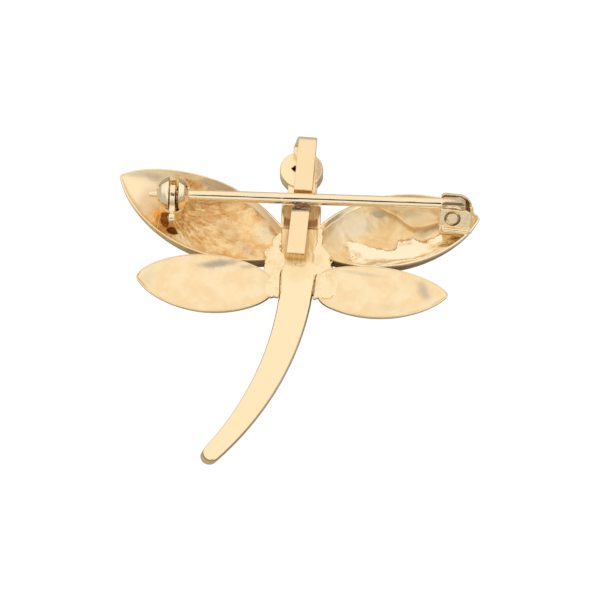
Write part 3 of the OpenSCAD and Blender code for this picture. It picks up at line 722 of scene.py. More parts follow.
# Painted shade inside the vent hole.
vent_shade = paint.spot(VENT_X, HEAD_Y, VENT * 0.8, VENT * 0.8, edge=0.2, wander=0)
vent_shade = vent_shade * paint.step(paint.z, RIM - 0.02, RIM - 0.3)
colour = paint.laid(
    gold(1.03, 1.0, 0.96),
    (cloud * 0.5, gold(1.0, 0.98, 0.9)),
    (shaded_right_side * 0.7, (0.66, 0.54, 0.36)),
    (vent_shade, (0.2, 0.1, 0.03)))
rough = 0.15 + shaded_right_side * 0.18 + (fine - 0.5) * 0.06
cast("head_and_neck", (HEAD_X - 3.0, THORAX_TOP - 0.6, 0.0), (HEAD_X + 3.1, HEAD_Y + 2.9, 3.5), head,
     paint.finish(colour, rough, cloud * 0.8 + fine * (0.1 + shaded_right_side * 1.2), 0.05))

# Solder: run into the corners between the thorax, the plate and the wings, then filed flat and polished.
# It left a pit, a few cracks and a bead at each side of the tail's root.
SOLDER_LEFT = [
    (-1.87, 8.97), (-2.5, 8.15), (-2.85, 7.65), (-2.96, 7.1), (-3.6, 6.4), (-3.9, 6.0), (-3.55, 5.26),
    (-3.63, 4.4), (-3.75, 3.4), (-4.3, 2.6), (-4.7, 1.5), (-4.5, 0.3), (-3.9, -0.2), (-3.2, -0.4),
    (-2.45, -0.3), (-1.9, -0.35), (-1.55, 0.7), (-1.55, 2.8), (-1.5, 3.25), (-1.3, 3.8), (-1.14, 4.65),
    (-1.3, 5.4), (-1.7, 6.1), (-1.8, 7.2), (-1.8, 8.2)]
SOLDER_RIGHT = [
    (3.0, 9.5), (3.05, 6.95), (3.64, 6.31), (4.2, 5.4), (4.2, 4.1), (4.9, 3.1), (5.2, 2.0), (5.0, 0.6),
    (4.2, -0.2), (3.1, -0.35), (2.4, -0.25), (2.05, 0.55), (2.1, 2.1), (2.2, 2.9), (1.6, 3.6), (1.2, 4.6),
    (1.4, 5.8), (2.1, 6.6), (2.35, 7.4), (2.4, 9.3)]
SOLDER_EDGE = 0.14
BEAD_Z = 3.42
BEADS = [(-2.25, 0.0, 0.2), (2.38, -0.16, 0.26)]
PIT = (-3.07, 4.5, 3.7)
PIT_R = 0.12
SEAM_FLOOR = 3.4
SEAMS = [(0.04, [(-1.72, 0.2), (-1.76, 2.8), (-1.66, 3.3), (-1.35, 3.85)]), (0.11, [(2.2, 0.3), (2.3, 2.1)]),
         (0.05, [(2.3, 2.1), (2.46, 2.9)])]
CRUMBS = {-1: 6.4, 1: 5.0}
SCRATCH_R = 0.06
SCRATCHES = [
    [(3.66, 3.2), (3.78, 2.56)], [(3.94, 2.88), (4.2, 3.05), (4.46, 3.43)], [(-3.42, 0.64), (-3.79, -0.29)]]


def from_outline(x, y, corners):
    """Distance from a closed outline of straight stretches, negative inside."""
    far = near_line(x, y, [*corners, corners[0]])
    inside = np.zeros(far.shape, bool)
    for (ax, ay), (bx, by) in zip(corners, corners[1:] + corners[:1]):
        crosses = (ay > y) != (by > y)
        inside ^= crosses & (x < (bx - ax) * (y - ay) / (by - ay if by != ay else 1.0) + ax)
    return np.where(inside, -far, far)


def solder_top(x, y, side):
    """Filed a little higher than the plate. Over the lower wing it is level with the rim, and then slopes
    down below the wing's dish. On the right it also slopes down under the plate's face."""
    out = side * (x - THORAX_X)
    over = np.clip((3.8 - y) / 0.9, 0, 1)
    lumps = 0.02 * np.sin(2.1 * x + 1.3) * np.sin(1.7 * y) + 0.01 * np.sin(4.3 * x - 3.1 * y)
    top = PLATE_Z + 0.07 + 0.09 * over * np.clip((out - 1.8) / 0.5, 0, 1) + lumps
    top = top - 0.46 * over * np.clip((out - 3.2) / 1.5, 0, 1)
    if side > 0:
        top = top - 0.16 * np.clip((2.6 - x) / 1.1, 0, 1) * np.clip((7.2 - y) / 0.8, 0, 1)
    return top


def solder(name, corners, side, paint):
    """Metal poured inside an outline, its rim rounded, with a bead at the tail, a pit where a bubble burst,
    and cracks along its border with the wing."""
    low = np.array([*np.min(corners, 0), 1.5]) - 0.4
    high = np.array([*np.max(corners, 0), 3.9]) + 0.4

    def shape(x, y, z):
        wander = 0.03 * np.sin(5.1 * y + 1.0) + 0.025 * np.sin(9.7 * y + 4.0 * x) + 0.02 * np.sin(7.3 * x)
        a = from_outline(x, y, corners)
        crumbs = np.exp(-(((y - CRUMBS[side]) / 0.75) ** 2) - (a / 0.45) ** 2) * (side * (x - THORAX_X) > 1.9)
        broken = 0.13 * np.sin(13.7 * x + 3.1 * y) + 0.1 * np.sin(9.1 * y - 11.3 * x + 2.0)
        top = solder_top(x, y, side) + crumbs * 0.14 * np.sin(11.0 * x + 2.0) * np.sin(9.0 * y)
        bottom = 2.1 + 1.15 * np.clip((1.1 - y) / 1.2, 0, 1)
        metal = rounded(SOLDER_EDGE, a + wander + crumbs * broken, np.maximum(z - top, bottom - z))
        for bx, by, r in BEADS:
            metal = joined(metal, ball(x - bx, y - by, z - BEAD_Z, r), 0.08)
        metal = cut(metal, ball(x - PIT[0], y - PIT[1], z - PIT[2], PIT_R), 0.03)
        for route in SCRATCHES:
            metal = cut(metal, np.hypot(near_line(x, y, route), z - top) - SCRATCH_R, 0.03)
        for wide, route in SEAMS:
            metal = cut(metal, np.maximum(near_line(x, y, route) - wide, SEAM_FLOOR - z), 0.05)
        return metal

    return cast(name, low, high, shape, paint, 0.045)


paint = Paint("solder_gold")
cloud, fine = paint.noise(1.0, 5.0, 0.6), paint.noise(0.2, 4.0, 0.66)
# Painted shade on the solder's low side walls near the middle, down in the corners by the plate and the
# thorax.
gap_shade = paint.step(paint.z, 3.56, 3.42) * paint.near(paint.x - THORAX_X, 3.3, 2.8)
colour = paint.laid(
    gold(0.94, 0.88, 0.78),
    (paint.step(cloud, 0.34, 0.56), gold(1.0, 0.99, 0.98)),
    (paint.step(fine, 0.6, 0.7) * 0.35, gold(0.8, 0.62, 0.42)),
    (gap_shade * 0.75, (0.3, 0.17, 0.07)))
filler = paint.finish(colour, 0.15 + gap_shade * 0.2 + (fine - 0.5) * 0.06, cloud * 0.9 + fine * 0.2, 0.05)
solder("solder_left", SOLDER_LEFT, -1, filler)
solder("solder_right", SOLDER_RIGHT, 1, filler)

# Pendant loop: one 2.15 mm strip. Its thick foot is soldered flat to the plate, then it dips under the pin,
# rises, leans back up a slope, turns over and comes down on the head's back. It leans 3.3 degrees.
STRIP = 0.8
STRIP_EDGE = 0.09
FOOT_TOP = FOOT_Y + 5.95
FOOT_Z = PLATE_Z + 1.3
BEND_R = 1.72
LEG_SLOPE = radians(17)
CATCH = np.array([-14.92, 12.781, 4.7])
PIN_R = 0.58
PIN_ROOT = 0.67
SIDE_GAP = 0.1
DIP_Z = CATCH[2] - PIN_ROOT - 3.5 * SIDE_GAP
LEG_Y = CATCH[1] + PIN_ROOT + 4 * SIDE_GAP
BEND_Y = HEAD_Y + 0.54 * HEAD_R
BEND_Z = RIM + BEND_R
FLARE = 0.65


def bend_arc(radius, count):
    """The turn at the top of the loop, from the back leg's slope round to the front leg."""
    turn = np.linspace(pi / 2 + LEG_SLOPE, -pi / 2, count)
    return np.stack([BEND_Y + radius * np.cos(turn), BEND_Z + radius * np.sin(turn)], -1)


def slope_at(y, offset):
    """Height of the back leg at y: offset is the distance of its face from the bend's centre."""
    return BEND_Z + (offset - (BEND_Y - y) * sin(LEG_SLOPE)) / cos(LEG_SLOPE)


def softened(corners, reach=STRIP_EDGE, count=7):
    """A line through the corners with each inner corner rounded over reach, count points a corner."""
    p = np.array(corners, float)
    rows = [p[:1]]
    t = np.linspace(0, 1, count)[:, None]
    for a, b, c in zip(p[:-2], p[1:-1], p[2:]):
        before = b + (a - b) / np.linalg.norm(a - b) * reach
        after = b + (c - b) / np.linalg.norm(c - b) * reach
        rows.append((1 - t) ** 2 * before + 2 * t * (1 - t) * b + t ** 2 * after)
    return np.concatenate([*rows, p[-1:]])


def resampled(line, share):
    """Points at those shares of each stretch of a line, so that two lines keep in step."""
    i = np.minimum(share.astype(int), len(line) - 2)
    t = (share - i)[:, None]
    return line[i] * (1 - t) + line[i + 1] * t


def strip_ring(left, right, up, thick, inset, edge):
    """Cross-section of a strip, in 20 points: a rectangle with quarter rounds at its corners, moved in by
    inset. Each corner has its side, whether it is at the strip's back, and the quarter turn it starts at."""
    middle = (left + right) / 2
    half = np.linalg.norm(right - left, axis=-1, keepdims=True) / 2
    across = (right - left) / np.maximum(2 * half, 1e-9)
    rounding = max(edge - inset, 0.0)
    sign, low, quarter = np.repeat([[1, 1, -1, -1], [0, 1, 1, 0], [0, 1, 2, 3]], 5, axis=1)
    angle = pi / 2 - quarter * pi / 2 - np.tile(np.linspace(0, pi / 2, 5), 4)
    side = sign * (half - inset - rounding) + rounding * np.cos(angle)
    height = np.where(low, -(thick - inset - rounding), -(inset + rounding)) + rounding * np.sin(angle)
    return middle[:, None] + across[:, None] * side[..., None] + up[:, None] * height[..., None]


def strip_points(left, right, up, thick, edge):
    """Rings along a strip, rounded over at both ends and closed there."""
    thick = thick[:, None]
    rings = [strip_ring(left, right, up, thick, 0.0, edge)]
    for end, inside in ((0, 1), (-1, -2)):
        out = (left[end] + right[end]) / 2 - (left[inside] + right[inside]) / 2
        out = out / np.linalg.norm(out)
        caps = []
        for angle in (0.45, 0.9, pi / 2):
            ends = [v[None, end] + out * edge * sin(angle) for v in (left, right)]
            caps.append(strip_ring(*ends, up[None, end], thick[None, end], edge * (1 - cos(angle)), edge))
        caps.append(np.broadcast_to((ends[0] + ends[1]) / 2 - up[None, end] * thick[end] / 2, caps[-1].shape))
        rings = [*caps[::-1], *rings] if end == 0 else [*rings, *caps]
    return np.concatenate([r.reshape(-1, 20, 3) for r in rings])


def along_strip(start, length):
    """0 up to that many points after the legs, then rising to 1 over a length in points."""
    return np.clip((np.arange(len(face_line)) - (len(steps) + start)) / length, 0, 1)


leg_z = slope_at(LEG_Y, BEND_R)
inner = BEND_R - STRIP
face = [(FOOT_Y, FOOT_Z), (FOOT_TOP, FOOT_Z), (FOOT_TOP + 0.98, DIP_Z), (LEG_Y - SIDE_GAP, DIP_Z),
        (LEG_Y, leg_z)]
back = [(FOOT_Y, PLATE_Z - 0.3), (FOOT_TOP - 0.4, PLATE_Z - 0.3), (FOOT_TOP + 0.6, DIP_Z - STRIP),
        (LEG_Y + STRIP, DIP_Z - STRIP), (LEG_Y + STRIP, slope_at(LEG_Y + STRIP, inner))]
face_line = softened([*face, tuple(bend_arc(BEND_R, 2)[0])])
back_line = softened([*back, tuple(bend_arc(inner, 2)[0])])
steps = np.linspace(0, len(face_line) - 1, (len(face_line) - 1) * 3 + 1)
front = np.linspace(0, 1, 20)[1:, None]
face_front = np.array([BEND_Y, BEND_Z - BEND_R]) + front * [LEG_Y - BEND_Y, -0.05]
back_front = np.array([BEND_Y, BEND_Z - inner]) + front * [LEG_Y - BEND_Y, 0]
face_line = np.concatenate([resampled(face_line, steps), bend_arc(BEND_R, 40)[1:], face_front])
back_line = np.concatenate([resampled(back_line, steps), bend_arc(inner, 40)[1:], back_front])
# The bend flares to the left, and the front leg widens to the right towards its end
flare, leg = along_strip(12, 16), along_strip(34, 24)
left = np.c_[LOOP_X - STRIP_W / 2 - FLARE * flare + 0.58 * along_strip(33, 9) + 0.1 * leg, face_line]
right = np.c_[LOOP_X + STRIP_W / 2 - 0.1 * flare + 0.5 * leg, face_line]
up = np.stack([np.zeros(len(face_line)), *(face_line - back_line).T], -1)
thick = np.linalg.norm(up, axis=-1)
points = strip_points(left, right, up / thick[:, None], thick, STRIP_EDGE)
lean = np.array(Matrix.Rotation(LOOP_LEAN, 3, "Z"))
points = (points - [0, FOOT_Y, 0]) @ lean.T + [0, FOOT_Y, 0]

paint = Paint("loop_gold")
cloud, fine = paint.noise(1.8, 4.0, 0.55), paint.noise(0.25, 4.0, 0.6)
jagged = paint.noise(0.5, 5.0, 0.7)
# Painted shadow under the pin, on the slope down into the dip: a near-black jagged patch with lighter flecks.
pin_shadow = paint.step(paint.y + (jagged - 0.5) * 0.9, FOOT_TOP - 0.35, FOOT_TOP + 0.05)
pin_shadow = pin_shadow * paint.step(paint.y, FOOT_TOP + 1.6, FOOT_TOP + 1.2)
# Painted orange reflection on the upright step out of the dip, where two gold faces look at each other.
riser_reflection = paint.step(paint.z, leg_z - 0.02, leg_z - 0.12) * paint.step(paint.y, LEG_Y - 0.7, LEG_Y - 0.2)
riser_reflection = riser_reflection * paint.step(paint.y, LEG_Y + 0.6, LEG_Y + 0.2)
foot_end = paint.step(paint.y, FOOT_Y + 0.3, FOOT_Y + 0.1)
colour = paint.laid(
    gold(0.98, 0.91, 0.83),
    (cloud, gold(0.99, 0.96, 0.94)),
    (riser_reflection * 0.9, (1.0, 0.64, 0.22)),
    # The foot's end wall: a painted reflection of the plate in front of it, and a painted deep brown line
    # under its top edge for the edge's dim reflection.
    (paint.step(paint.z, FOOT_Z - 0.1, FOOT_Z - 0.3) * foot_end * 0.5, (1.0, 0.84, 0.56)),
    (paint.near(paint.z - FOOT_Z + 0.16, 0.09, 0.03) * foot_end * 0.7, (0.22, 0.13, 0.06)),
    (pin_shadow * 0.95, paint.mix(paint.step(jagged, 0.43, 0.57), (0.05, 0.035, 0.04), (0.8, 0.7, 0.6))))
rough = 0.14 + pin_shadow * 0.3 + riser_reflection * 0.4 + (fine - 0.5) * 0.05
bump = cloud * 0.7 + fine * 0.12 + pin_shadow * jagged * 4.0
piece("pendant_loop", points, woven(len(points), 20), paint.finish(colour, rough, bump, 0.05), flat=True)

# Safety catch: a cast ball, slotted for the lever and open at the top for the pin, on a round base and a
# post that is soldered into the wing's bowl. A few flats were filed round the ball.
SWING_TILT = radians(32)
BALL_R = 2.1
SLOT_FROM = -0.391
SLOT = 1.15
SLOT_PAINT = 0.19
MOUTH = PIN_R + 0.11
HUB_R = 1.05
RUN_GAP = 0.05
BASE_R = 1.4
BASE_Z = -0.93 * BALL_R
LEVER = 0.68
RING_R = 0.83 * BALL_R
FLATS = [radians(a) for a in (6, 30, 52, 74)]
FLATTENED = 0.984 * BALL_R
BORE_HALF = 1.6
BALL_OFF = (0.06, 0.2, 0.08)
SHADOWED = (0.3, 0.15, 0.05)


def swung(y, z):
    """The same place measured across and along the way that the pin swings."""
    return y * cos(SWING_TILT) - z * sin(SWING_TILT), y * sin(SWING_TILT) + z * cos(SWING_TILT)


def catch_ball(x, y, z):
    off = [v - shift for v, shift in zip((x, y, z), BALL_OFF)]
    round_x = np.hypot(off[1], off[2])
    shell = ball(*off, BALL_R)
    for angle in FLATS:
        shell = -joined(-shell, FLATTENED - round_x * cos(angle) - np.abs(off[0]) * sin(angle), 0.03)
    base = rod(x, y, z - BASE_Z + 0.1, BASE_R, 0.25)
    post = rod(x, y, z - BASE_Z + 1.0, 0.8 * BASE_R, 0.75, 0.05)
    metal = joined(joined(shell, base, 0.12), post, 0.3)
    across, high = swung(y, z)
    bore = np.maximum(np.hypot(across, high) - HUB_R - RUN_GAP, np.abs(x - 0.05) - BORE_HALF)
    bore = np.minimum(bore, np.hypot(across, high) - MOUTH + 0 * x)
    mouth = np.maximum(np.abs(across) - MOUTH + 0.04, -high)
    slot = np.abs(x - SLOT_FROM - SLOT / 2) - SLOT / 2
    slot = np.maximum(slot, np.minimum(np.hypot(y, z) - RING_R - SIDE_GAP, -(z + 0.6 * BALL_R)))
    return cut(cut(cut(metal, bore, 0.05), mouth, 0.05), slot, 0.08)


paint = Paint("catch_gold", CATCH)
cloud, fine = paint.noise(1.1, 4.0, 0.6), paint.noise(0.2, 4.0, 0.6)
in_slot = paint.near(paint.x - SLOT_PAINT, 0.62, 0.56)
in_slot = in_slot * paint.step(paint.y.hypot(paint.z), BALL_R - 0.1, BALL_R - 0.25)
colour = paint.laid(
    gold(0.97, 1.0, 1.04),
    (cloud, gold(1.04, 1.12, 1.25)),
    # Painted shade: browner on the base and the post.
    (paint.step(paint.z, -1.7, -2.1) * 0.3, (0.6, 0.42, 0.22)),
    (in_slot * 0.9, SHADOWED))
rough = 0.2 + (cloud - 0.5) * 0.06 + paint.step(paint.y, 0.8, 1.3) * 0.35 + in_slot * 0.3
cast("catch_ball", CATCH - [2.4, 2.4, 3.7], CATCH + [2.4, 2.4, 2.4], catch_ball,
     paint.finish(colour, rough, cloud + fine * 0.12, 0.05), 0.045, CATCH)

# Lever: the catch's turning part, a slit tube with a ring and a tab, cast in one. It turns about the pin's
# line, and the tab is pinched in before its round end.
LEVER_REACH = 3.6
LEVER_W = 1.1
LEVER_DROP = radians(10)
HUB_WALL = 0.35
HUB_OFF = 0.025 * BALL_R
HUB_HALF = 0.725 * BALL_R
WAIST_AT = 2.55
WAIST_W = 0.12
WAIST_DEPTH = 0.14


def lever(x, y, z):
    hub = rod(y, z, x - HUB_OFF, HUB_R, HUB_HALF, 0.05)
    thick = x - SLOT_FROM - SIDE_GAP - LEVER / 2
    ring = rod(y, z, thick, RING_R, LEVER / 2, 0.07)
    out = -y * cos(LEVER_DROP) - z * sin(LEVER_DROP)
    side = -y * sin(LEVER_DROP) + z * cos(LEVER_DROP)
    end = LEVER_REACH - LEVER_W / 2
    tab = np.hypot(np.maximum(out - end, 0) - np.minimum(out - 0.5, 0), side) - LEVER_W / 2
    tab = np.maximum(tab, np.abs(thick) - LEVER / 2)
    waist = WAIST_DEPTH * np.exp(-(((out - WAIST_AT) / WAIST_W) ** 2))
    metal = joined(joined(hub, ring, 0.1), tab + waist, 0.12)
    across, high = swung(y, z)
    mouth = np.maximum(np.abs(across) - MOUTH, -high)
    return cut(metal, np.minimum(np.hypot(across, high) - (HUB_R - HUB_WALL), mouth), 0.06)


paint = Paint("lever_gold", CATCH)
cloud, fine = paint.noise(0.8, 4.0, 0.6), paint.noise(0.2, 4.0, 0.6)
colour = paint.mix(cloud, gold(0.9, 0.92, 0.95), gold(1.0, 1.0, 1.05))
colour = paint.mix(paint.step(paint.x, 0.4, 0.44) * 0.9, colour, SHADOWED)
cast("catch_lever_gold", CATCH - [2.0, 4.2, 2.1], CATCH + [2.0, 2.1, 2.1], lever,
     paint.finish(colour, 0.11 + (cloud - 0.5) * 0.06, cloud * 1.2 + fine * 0.12, 0.05), 0.05, CATCH,
     body="lever", node="catch_lever", slot="lever_gold")

# Hinge: a box folded from sheet, with two cheeks, an end wall and a floor, tilted with the pin's swing.
# It stands on a bed of solder in the right wing's tip, and the wing's sheet is cut away inside it.
HINGE = np.array([18.208, 12.145, 3.682])
BOX_W = 3.2
SHEET = 0.45
KNUCKLE_R = 1.25
RIVET_R = 0.55
RIVET_HEAD = 0.66
BOX_LEFT = 1.18 * KNUCKLE_R
KNUCKLE_OFF = 1.2
ROOT_OVER = 0.6 * PIN_ROOT
END_IN = hypot(ROOT_OVER, KNUCKLE_OFF + PIN_ROOT) + SIDE_GAP
END_OUT = END_IN + SHEET
NEAR_TOP = 0.9 * KNUCKLE_R
FAR_TOP = 1.25 * KNUCKLE_R + 0.3
END_TOP = 0.4 * NEAR_TOP
FLOOR_TOP = KNUCKLE_R + SIDE_GAP + 0.2
FLOOR_LOW = KNUCKLE_R + SIDE_GAP + SHEET
DISH_R = 1.42 * RIVET_HEAD
ASKEW = radians(4.5)


def outside_wing(x, y, z):
    """How far a place below the rim is past the right wing's trailing edge."""
    w = WINGS["wing_upper_right"]
    middle, forward, sideways = wing_axes(w)
    x, y = x - middle[0], y - middle[1]
    edge = edge_line(w, "trail", x * forward[0] + y * forward[1], 0.12)
    return np.minimum(-edge - x * sideways[0] - y * sideways[1], RIM + 0.05 - z)


def hinge_box(x, y, z):
    beyond = outside_wing(x + HINGE[0], y + HINGE[1], z + HINGE[2])
    y, z = swung(y, z)
    u, w = x * cos(ASKEW) - z * sin(ASKEW), x * sin(ASKEW) + z * cos(ASKEW)

    def cheek(at, top, right, rounds):
        """A plate whose two top corners are rounded, each with its own radius."""
        plate = np.maximum(np.maximum(-BOX_LEFT - u, u - right), np.maximum(-FLOOR_LOW - w, w - top))
        for side, end, r in ((-1, BOX_LEFT, rounds[0]), (1, right, rounds[1])):
            a, b = side * u - end + r, w - top + r
            plate = np.where((a > 0) & (b > 0), np.maximum(plate, np.hypot(a, b) - r), plate)
        return cut(plate, -(np.abs(y - at) - SHEET / 2), 0.07)

    half = BOX_W / 2 - SHEET / 2
    near = cheek(-half, NEAR_TOP, END_OUT - 0.22, (0.15, 0.9))
    far = cheek(half, FAR_TOP, END_OUT - 0.12, (0.5, 1.75))
    end = block(u - END_IN - SHEET / 2, y, w - (END_TOP - FLOOR_LOW) / 2,
                (SHEET / 2, half, (END_TOP + FLOOR_LOW) / 2), 0.05)
    floor = block(u - (END_OUT - BOX_LEFT) / 2, y, w + (FLOOR_TOP + FLOOR_LOW) / 2,
                  ((END_OUT + BOX_LEFT) / 2, half, (FLOOR_LOW - FLOOR_TOP) / 2), 0.05)
    hole = np.hypot(x, z)
    dish = np.maximum(hole - DISH_R, BOX_W / 2 - 0.75 * SHEET - np.abs(y))
    box = joined(joined(joined(cut(near, dish, 0.04), far, 0.05), end, 0.1), floor, 0.1)
    bed = block(u - 0.5, y + BOX_W / 2, w + FLOOR_LOW - 0.3, (BOX_LEFT + 0.2, 0.45, 0.4), 0.3)
    under = block(u - 0.1, y + 0.1, w + FLOOR_LOW + 0.2, (BOX_LEFT, BOX_W / 2 - 0.15, 0.35), 0.3)
    box = joined(joined(box, bed, 0.08), under, 0.3)
    return np.maximum(np.maximum(box, RIVET_R + 0.02 - hole), beyond)


def take_out(wing, corner, sizes):
    """Cuts the box's room out of the wing's sheet, which would pass through it under the knuckle."""
    middle = [a + b / 2 for a, b in zip(corner, sizes)]
    room = bmesh.new()
    bmesh.ops.create_cube(room, size=1.0, matrix=Matrix.Translation(middle) @ Matrix.Diagonal((*sizes, 1)))
    turn = Matrix.Rotation(-SWING_TILT, 4, "X") @ Matrix.Rotation(ASKEW, 4, "Y")
    room.transform(Matrix.Scale(MM, 4) @ Matrix.Translation(HINGE) @ turn)
    cutter = bpy.data.objects.new("room", bpy.data.meshes.new("room"))
    room.to_mesh(cutter.data)
    room.free()
    bpy.context.scene.collection.objects.link(cutter)
    wing.modifiers.new("room", "BOOLEAN").object = cutter
    cut_wing = wing.evaluated_get(bpy.context.evaluated_depsgraph_get())
    wing.data = bpy.data.meshes.new_from_object(cut_wing)
    wing.modifiers.clear()
    bpy.data.objects.remove(cutter)


paint = Paint("hinge_gold", HINGE)
cloud, fine = paint.noise(0.9, 4.0, 0.6), paint.noise(0.22, 4.0, 0.6)
# Painted reflection: the box's low part, down in the bowl, is painted paler.
low = paint.step(paint.z, -0.95, -1.15)
across, high = swung(paint.y, paint.z)
# Painted shade: a deep brown crescent in the recess round the rivet's head, and a band high on the far
# cheek's inner face.
ring = paint.near(paint.x.hypot(high) - 0.82, 0.17, 0.08) * paint.step(across, -0.9, -1.1)
ring = ring * paint.step((paint.x - high * 0.5).math("ABSOLUTE") + (cloud - 0.5) * 0.6, 0.3, 0.7)
shadow = paint.near(across - 1.06, 0.12, 0.06) * paint.step(high, 0.4, 0.9)
burnt = (paint.z + 0.9).math("ABSOLUTE") + (fine - 0.5) * 0.5
burnt = paint.step(burnt, 0.24, 0.12) * paint.step(across, -1.0, -1.3)
colour = paint.laid(
    gold(0.95, 0.93, 0.88),
    (cloud, gold(1.03, 1.02, 1.0)),
    (low, gold(1.04, 1.24, 1.6)),
    (burnt * 0.7, (0.55, 0.32, 0.12)),
    ((ring * 0.85).math("MAXIMUM", shadow * 0.9), (0.14, 0.085, 0.04)))
rough = 0.18 + (cloud - 0.5) * 0.08 + low * 0.15
cast("hinge_box", HINGE - [2.3, 3.2, 2.9], HINGE + [2.9, 3.0, 2.4], hinge_box,
     paint.finish(colour, rough, cloud * 1.2 + fine * 0.2, 0.05), 0.045, HINGE)
take_out(bpy.data.objects["wing_upper_right"], (-BOX_LEFT, (SHEET - BOX_W) / 2, -FLOOR_TOP),
         (BOX_LEFT + END_IN + SHEET / 2, BOX_W - SHEET, 2 * BOX_W))

# Rivet: a gold wire through the cheeks and the knuckle, its ends hammered to flat round heads that
# lie in the cheeks. It is left as hammered, a little duller than the box.
HEAD_IN = BOX_W / 2 - SHEET / 2 + 0.02
HEAD_OUT = BOX_W / 2 + 0.1 * SHEET


def rivet(x, y, z):
    y, z = swung(y, z)
    shaft = rod(x, z, y, RIVET_R, HEAD_IN + 0.1, 0.02)
    head = rod(x, z, np.abs(y) - (HEAD_IN + HEAD_OUT) / 2, RIVET_HEAD, (HEAD_OUT - HEAD_IN) / 2, 0.07)
    return joined(shaft, head, 0.03)


paint = Paint("rivet_gold", HINGE)
cloud = paint.noise(0.5, 4.0, 0.6)
colour = paint.mix(cloud, gold(1.0, 0.92, 0.88), gold(1.04, 1.0, 1.0))
cast("hinge_rivet_gold", HINGE - [0.9, 2.1, 2.0], HINGE + [0.9, 2.1, 2.0], rivet,
     paint.finish(colour, 0.22, cloud, 0.05), 0.04, HINGE, node="hinge_rivet", slot="pin_gold")

# Pin: a drawn wire with a long taper, polished along its length, soldered over a round knuckle. Its tip is
# blunt. It has one nick near its middle.
TIP_X = CATCH[0] - BALL_R - 0.7
TAPER_X = CATCH[0] + BALL_R
ROOT_X = HINGE[0] + ROOT_OVER
PIN_PROFILE = [(TIP_X, 0.32), (TAPER_X, PIN_R), (-9.5, 0.655), (HINGE[0] - 0.65, 0.69),
               (HINGE[0] - 0.45, 0.62), (ROOT_X, 0.62)]
PIN_EDGE = 0.08
NICK_X = -2.2
NICK_W = 0.12
NICK_DEPTH = 0.05
LUG_R = 1.95


def pin(name, paint):
    """A turned bar along X: its radius follows the profile, and rounds off at both ends."""
    x = np.unique(np.r_[np.linspace(TIP_X, ROOT_X, 180), [p[0] for p in PIN_PROFILE]])
    r = np.interp(x, *zip(*PIN_PROFILE))
    nick = NICK_DEPTH * np.exp(-(((x - NICK_X) / NICK_W) ** 2))
    profile = np.r_[[[x[0], 0.0]], [[x[0], r[0] - PIN_EDGE]], np.stack([x[1:-1], (r - nick)[1:-1]], -1),
                    [[x[-1], r[-1] - PIN_EDGE]], [[x[-1], 0.0]]]
    turn = np.linspace(0, 2 * pi, 48, endpoint=False)
    points = np.stack([
        np.broadcast_to(profile[:, :1], (len(profile), 48)),
        CATCH[1] + profile[:, 1:] * np.cos(turn),
        CATCH[2] + profile[:, 1:] * np.sin(turn)], -1)
    return piece(name, points, woven(*points.shape[:2]), paint, "pin", "pin_stem", "pin_gold")


def knuckle(x, y, z):
    y, z = swung(y, z)
    half = BOX_W / 2 - SHEET - 2 * SIDE_GAP
    disc = rod(x, z, y, KNUCKLE_R, half)
    lug = block(x - 0.15, y - 0.15, z - 1.12, (1.35, half - 0.15, 0.6), 0.12)
    lug = np.maximum(lug, np.hypot(x, z) - LUG_R)
    bar = rod(y, z - KNUCKLE_OFF, x + 0.9, PIN_ROOT, 0.7, 0.05)
    return cut(joined(joined(disc, lug, 0.1), bar, 0.12), np.hypot(x, z) - RIVET_R - RUN_GAP + 0 * y, 0.05)


paint = Paint("pin_gold", CATCH)
streak = paint.drawn(paint.x * 0.12, paint.y * 5.0, paint.z * 5.0, 3.0, 0.5)
cloud, rubbed = paint.noise(1.5, 4.0, 0.6), paint.noise(0.4, 5.0, 0.66)
knuckle_end = paint.step(paint.x, HINGE[0] - CATCH[0] - 1.4, HINGE[0] - CATCH[0] - 1.2)
across, _ = swung(paint.y - float(HINGE[1] - CATCH[1]), paint.z - float(HINGE[2] - CATCH[2]))
# Painted reflection: the wire's lower half is painted paler, for the bright table it reflects.
below = paint.step(paint.y * cos(SWING_TILT) + paint.z * sin(SWING_TILT), -0.12, -0.3)
colour = paint.laid(
    gold(0.96, 0.96, 0.97),
    (cloud, gold(1.02, 1.02, 1.05)),
    (knuckle_end * paint.step(rubbed, 0.45, 0.6) * 0.35, (0.74, 0.58, 0.36)),
    (paint.near(across + 0.66, 0.08, 0.03) * knuckle_end * 0.9, (0.2, 0.12, 0.06)),
    (below, gold(1.04, 1.16, 1.4)))
rough = 0.08 + (streak - 0.5) * 0.05 + knuckle_end * 0.15 + below * 0.14
wire = paint.finish(colour, rough, streak * 0.4 + cloud * 0.4 + knuckle_end * rubbed * 4.0, 0.03)
pin("pin_stem_gold", wire)
cast("pin_knuckle", HINGE - [1.6, 2.2, 2.2], HINGE + [1.6, 2.2, 2.6], knuckle, wire, 0.05, HINGE,
     body="pin", node="pin_stem", slot="pin_gold")

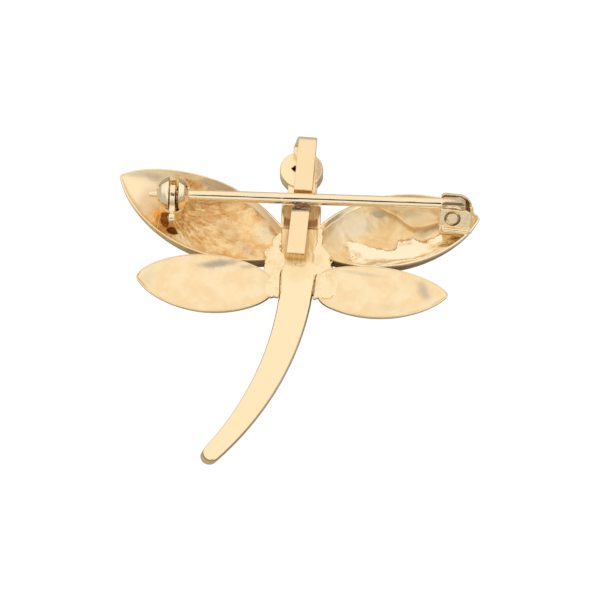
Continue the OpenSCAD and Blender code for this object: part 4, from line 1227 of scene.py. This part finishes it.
# The table, the light and the camera: a white photographer's tent, with the lens looking in through a hole
# in its wall, 58 degrees up and a little to the right of the tail.
CAMERA_HEIGHT = radians(58)
CAMERA_TURN = radians(2.316)
CAMERA_FAR = 450.0
PICTURE_CENTRE = np.array([0.6, TAIL_Y - 0.555, 0.0])
PICTURE = 600
PIXELS_A_MM = 8.5
SENSOR = 36
HOLE_IN = radians(11.5)
HOLE_OUT = radians(13.5)
level = cos(CAMERA_HEIGHT)
toward = np.array([sin(CAMERA_TURN) * level, -cos(CAMERA_TURN) * level, sin(CAMERA_HEIGHT)])
lens = bpy.data.cameras.new("camera")
lens.lens = SENSOR * PIXELS_A_MM * CAMERA_FAR / PICTURE
lens.clip_start, lens.clip_end = 0.01, 10
camera = bpy.data.objects.new("camera", lens)
camera.location = (PICTURE_CENTRE + toward * CAMERA_FAR) * MM
camera.rotation_euler = Vector(-toward).to_track_quat("-Z", "Y").to_euler()
bpy.context.scene.collection.objects.link(camera)
bpy.context.scene.camera = camera


def surface(name, glow, grey, height):
    """A table top, 4 m wide: its own glow, and the grey that the light falls on."""
    paint = Paint(name)
    diffuse = paint.node("BsdfDiffuse", {}, {"Color": (grey, grey, grey, 1)})
    light = paint.node("Emission", {}, {"Strength": glow})
    paint.node("OutputMaterial", {}, {"Surface": paint.node("AddShader", {}, {0: diffuse, 1: light})})
    mesh = bpy.data.meshes.new(name)
    mesh.from_pydata([(-2, -2, height), (2, -2, height), (2, 2, height), (-2, 2, height)], [], [(0, 1, 2, 3)])
    mesh.materials.append(paint.material)
    made = bpy.data.objects.new(name, mesh)
    bpy.context.scene.collection.objects.link(made)
    return made


# The table is lit from below as well, so that it shows white. The metal sees the paper on it, which is
# darker under the brooch.
paper = surface("paper", 0.0, 0.6, 0.0)
paper.visible_camera = False
table = surface("light_table", 0.97, 0.25, -0.01 * MM)
table.visible_glossy = False
table.visible_diffuse = False
table.visible_shadow = False

world = bpy.data.worlds.new("tent")
world.use_nodes = True
bpy.context.scene.world = world
tent = Nodes(world.node_tree)
way = tent.node("TexCoord", out="Generated")
east, north, height = (tent.node("SeparateXYZ", {}, {0: way}, out=k) for k in "XYZ")
lens_way = tent.node("VectorMath", {"operation": "DOT_PRODUCT"}, {0: way, 1: toward}, out="Value")
low = tent.step(north.math("ABSOLUTE"), 0.3, 0.9, 0.36, 0.74) * tent.step(east, -0.7, 0.7, 1.2, 0.66)
wall = low + (1.05 - low) * tent.step(height, 0.0, 0.5)
hole = tent.step(lens_way, cos(HOLE_OUT), cos(HOLE_IN), 1.0, 0.06)
glow = tent.node("Background", {}, {"Color": (1, 1, 1, 1), "Strength": wall * hole})
tent.node("OutputWorld", {}, {"Surface": glow})
bpy.context.scene.view_settings.view_transform = "Standard"
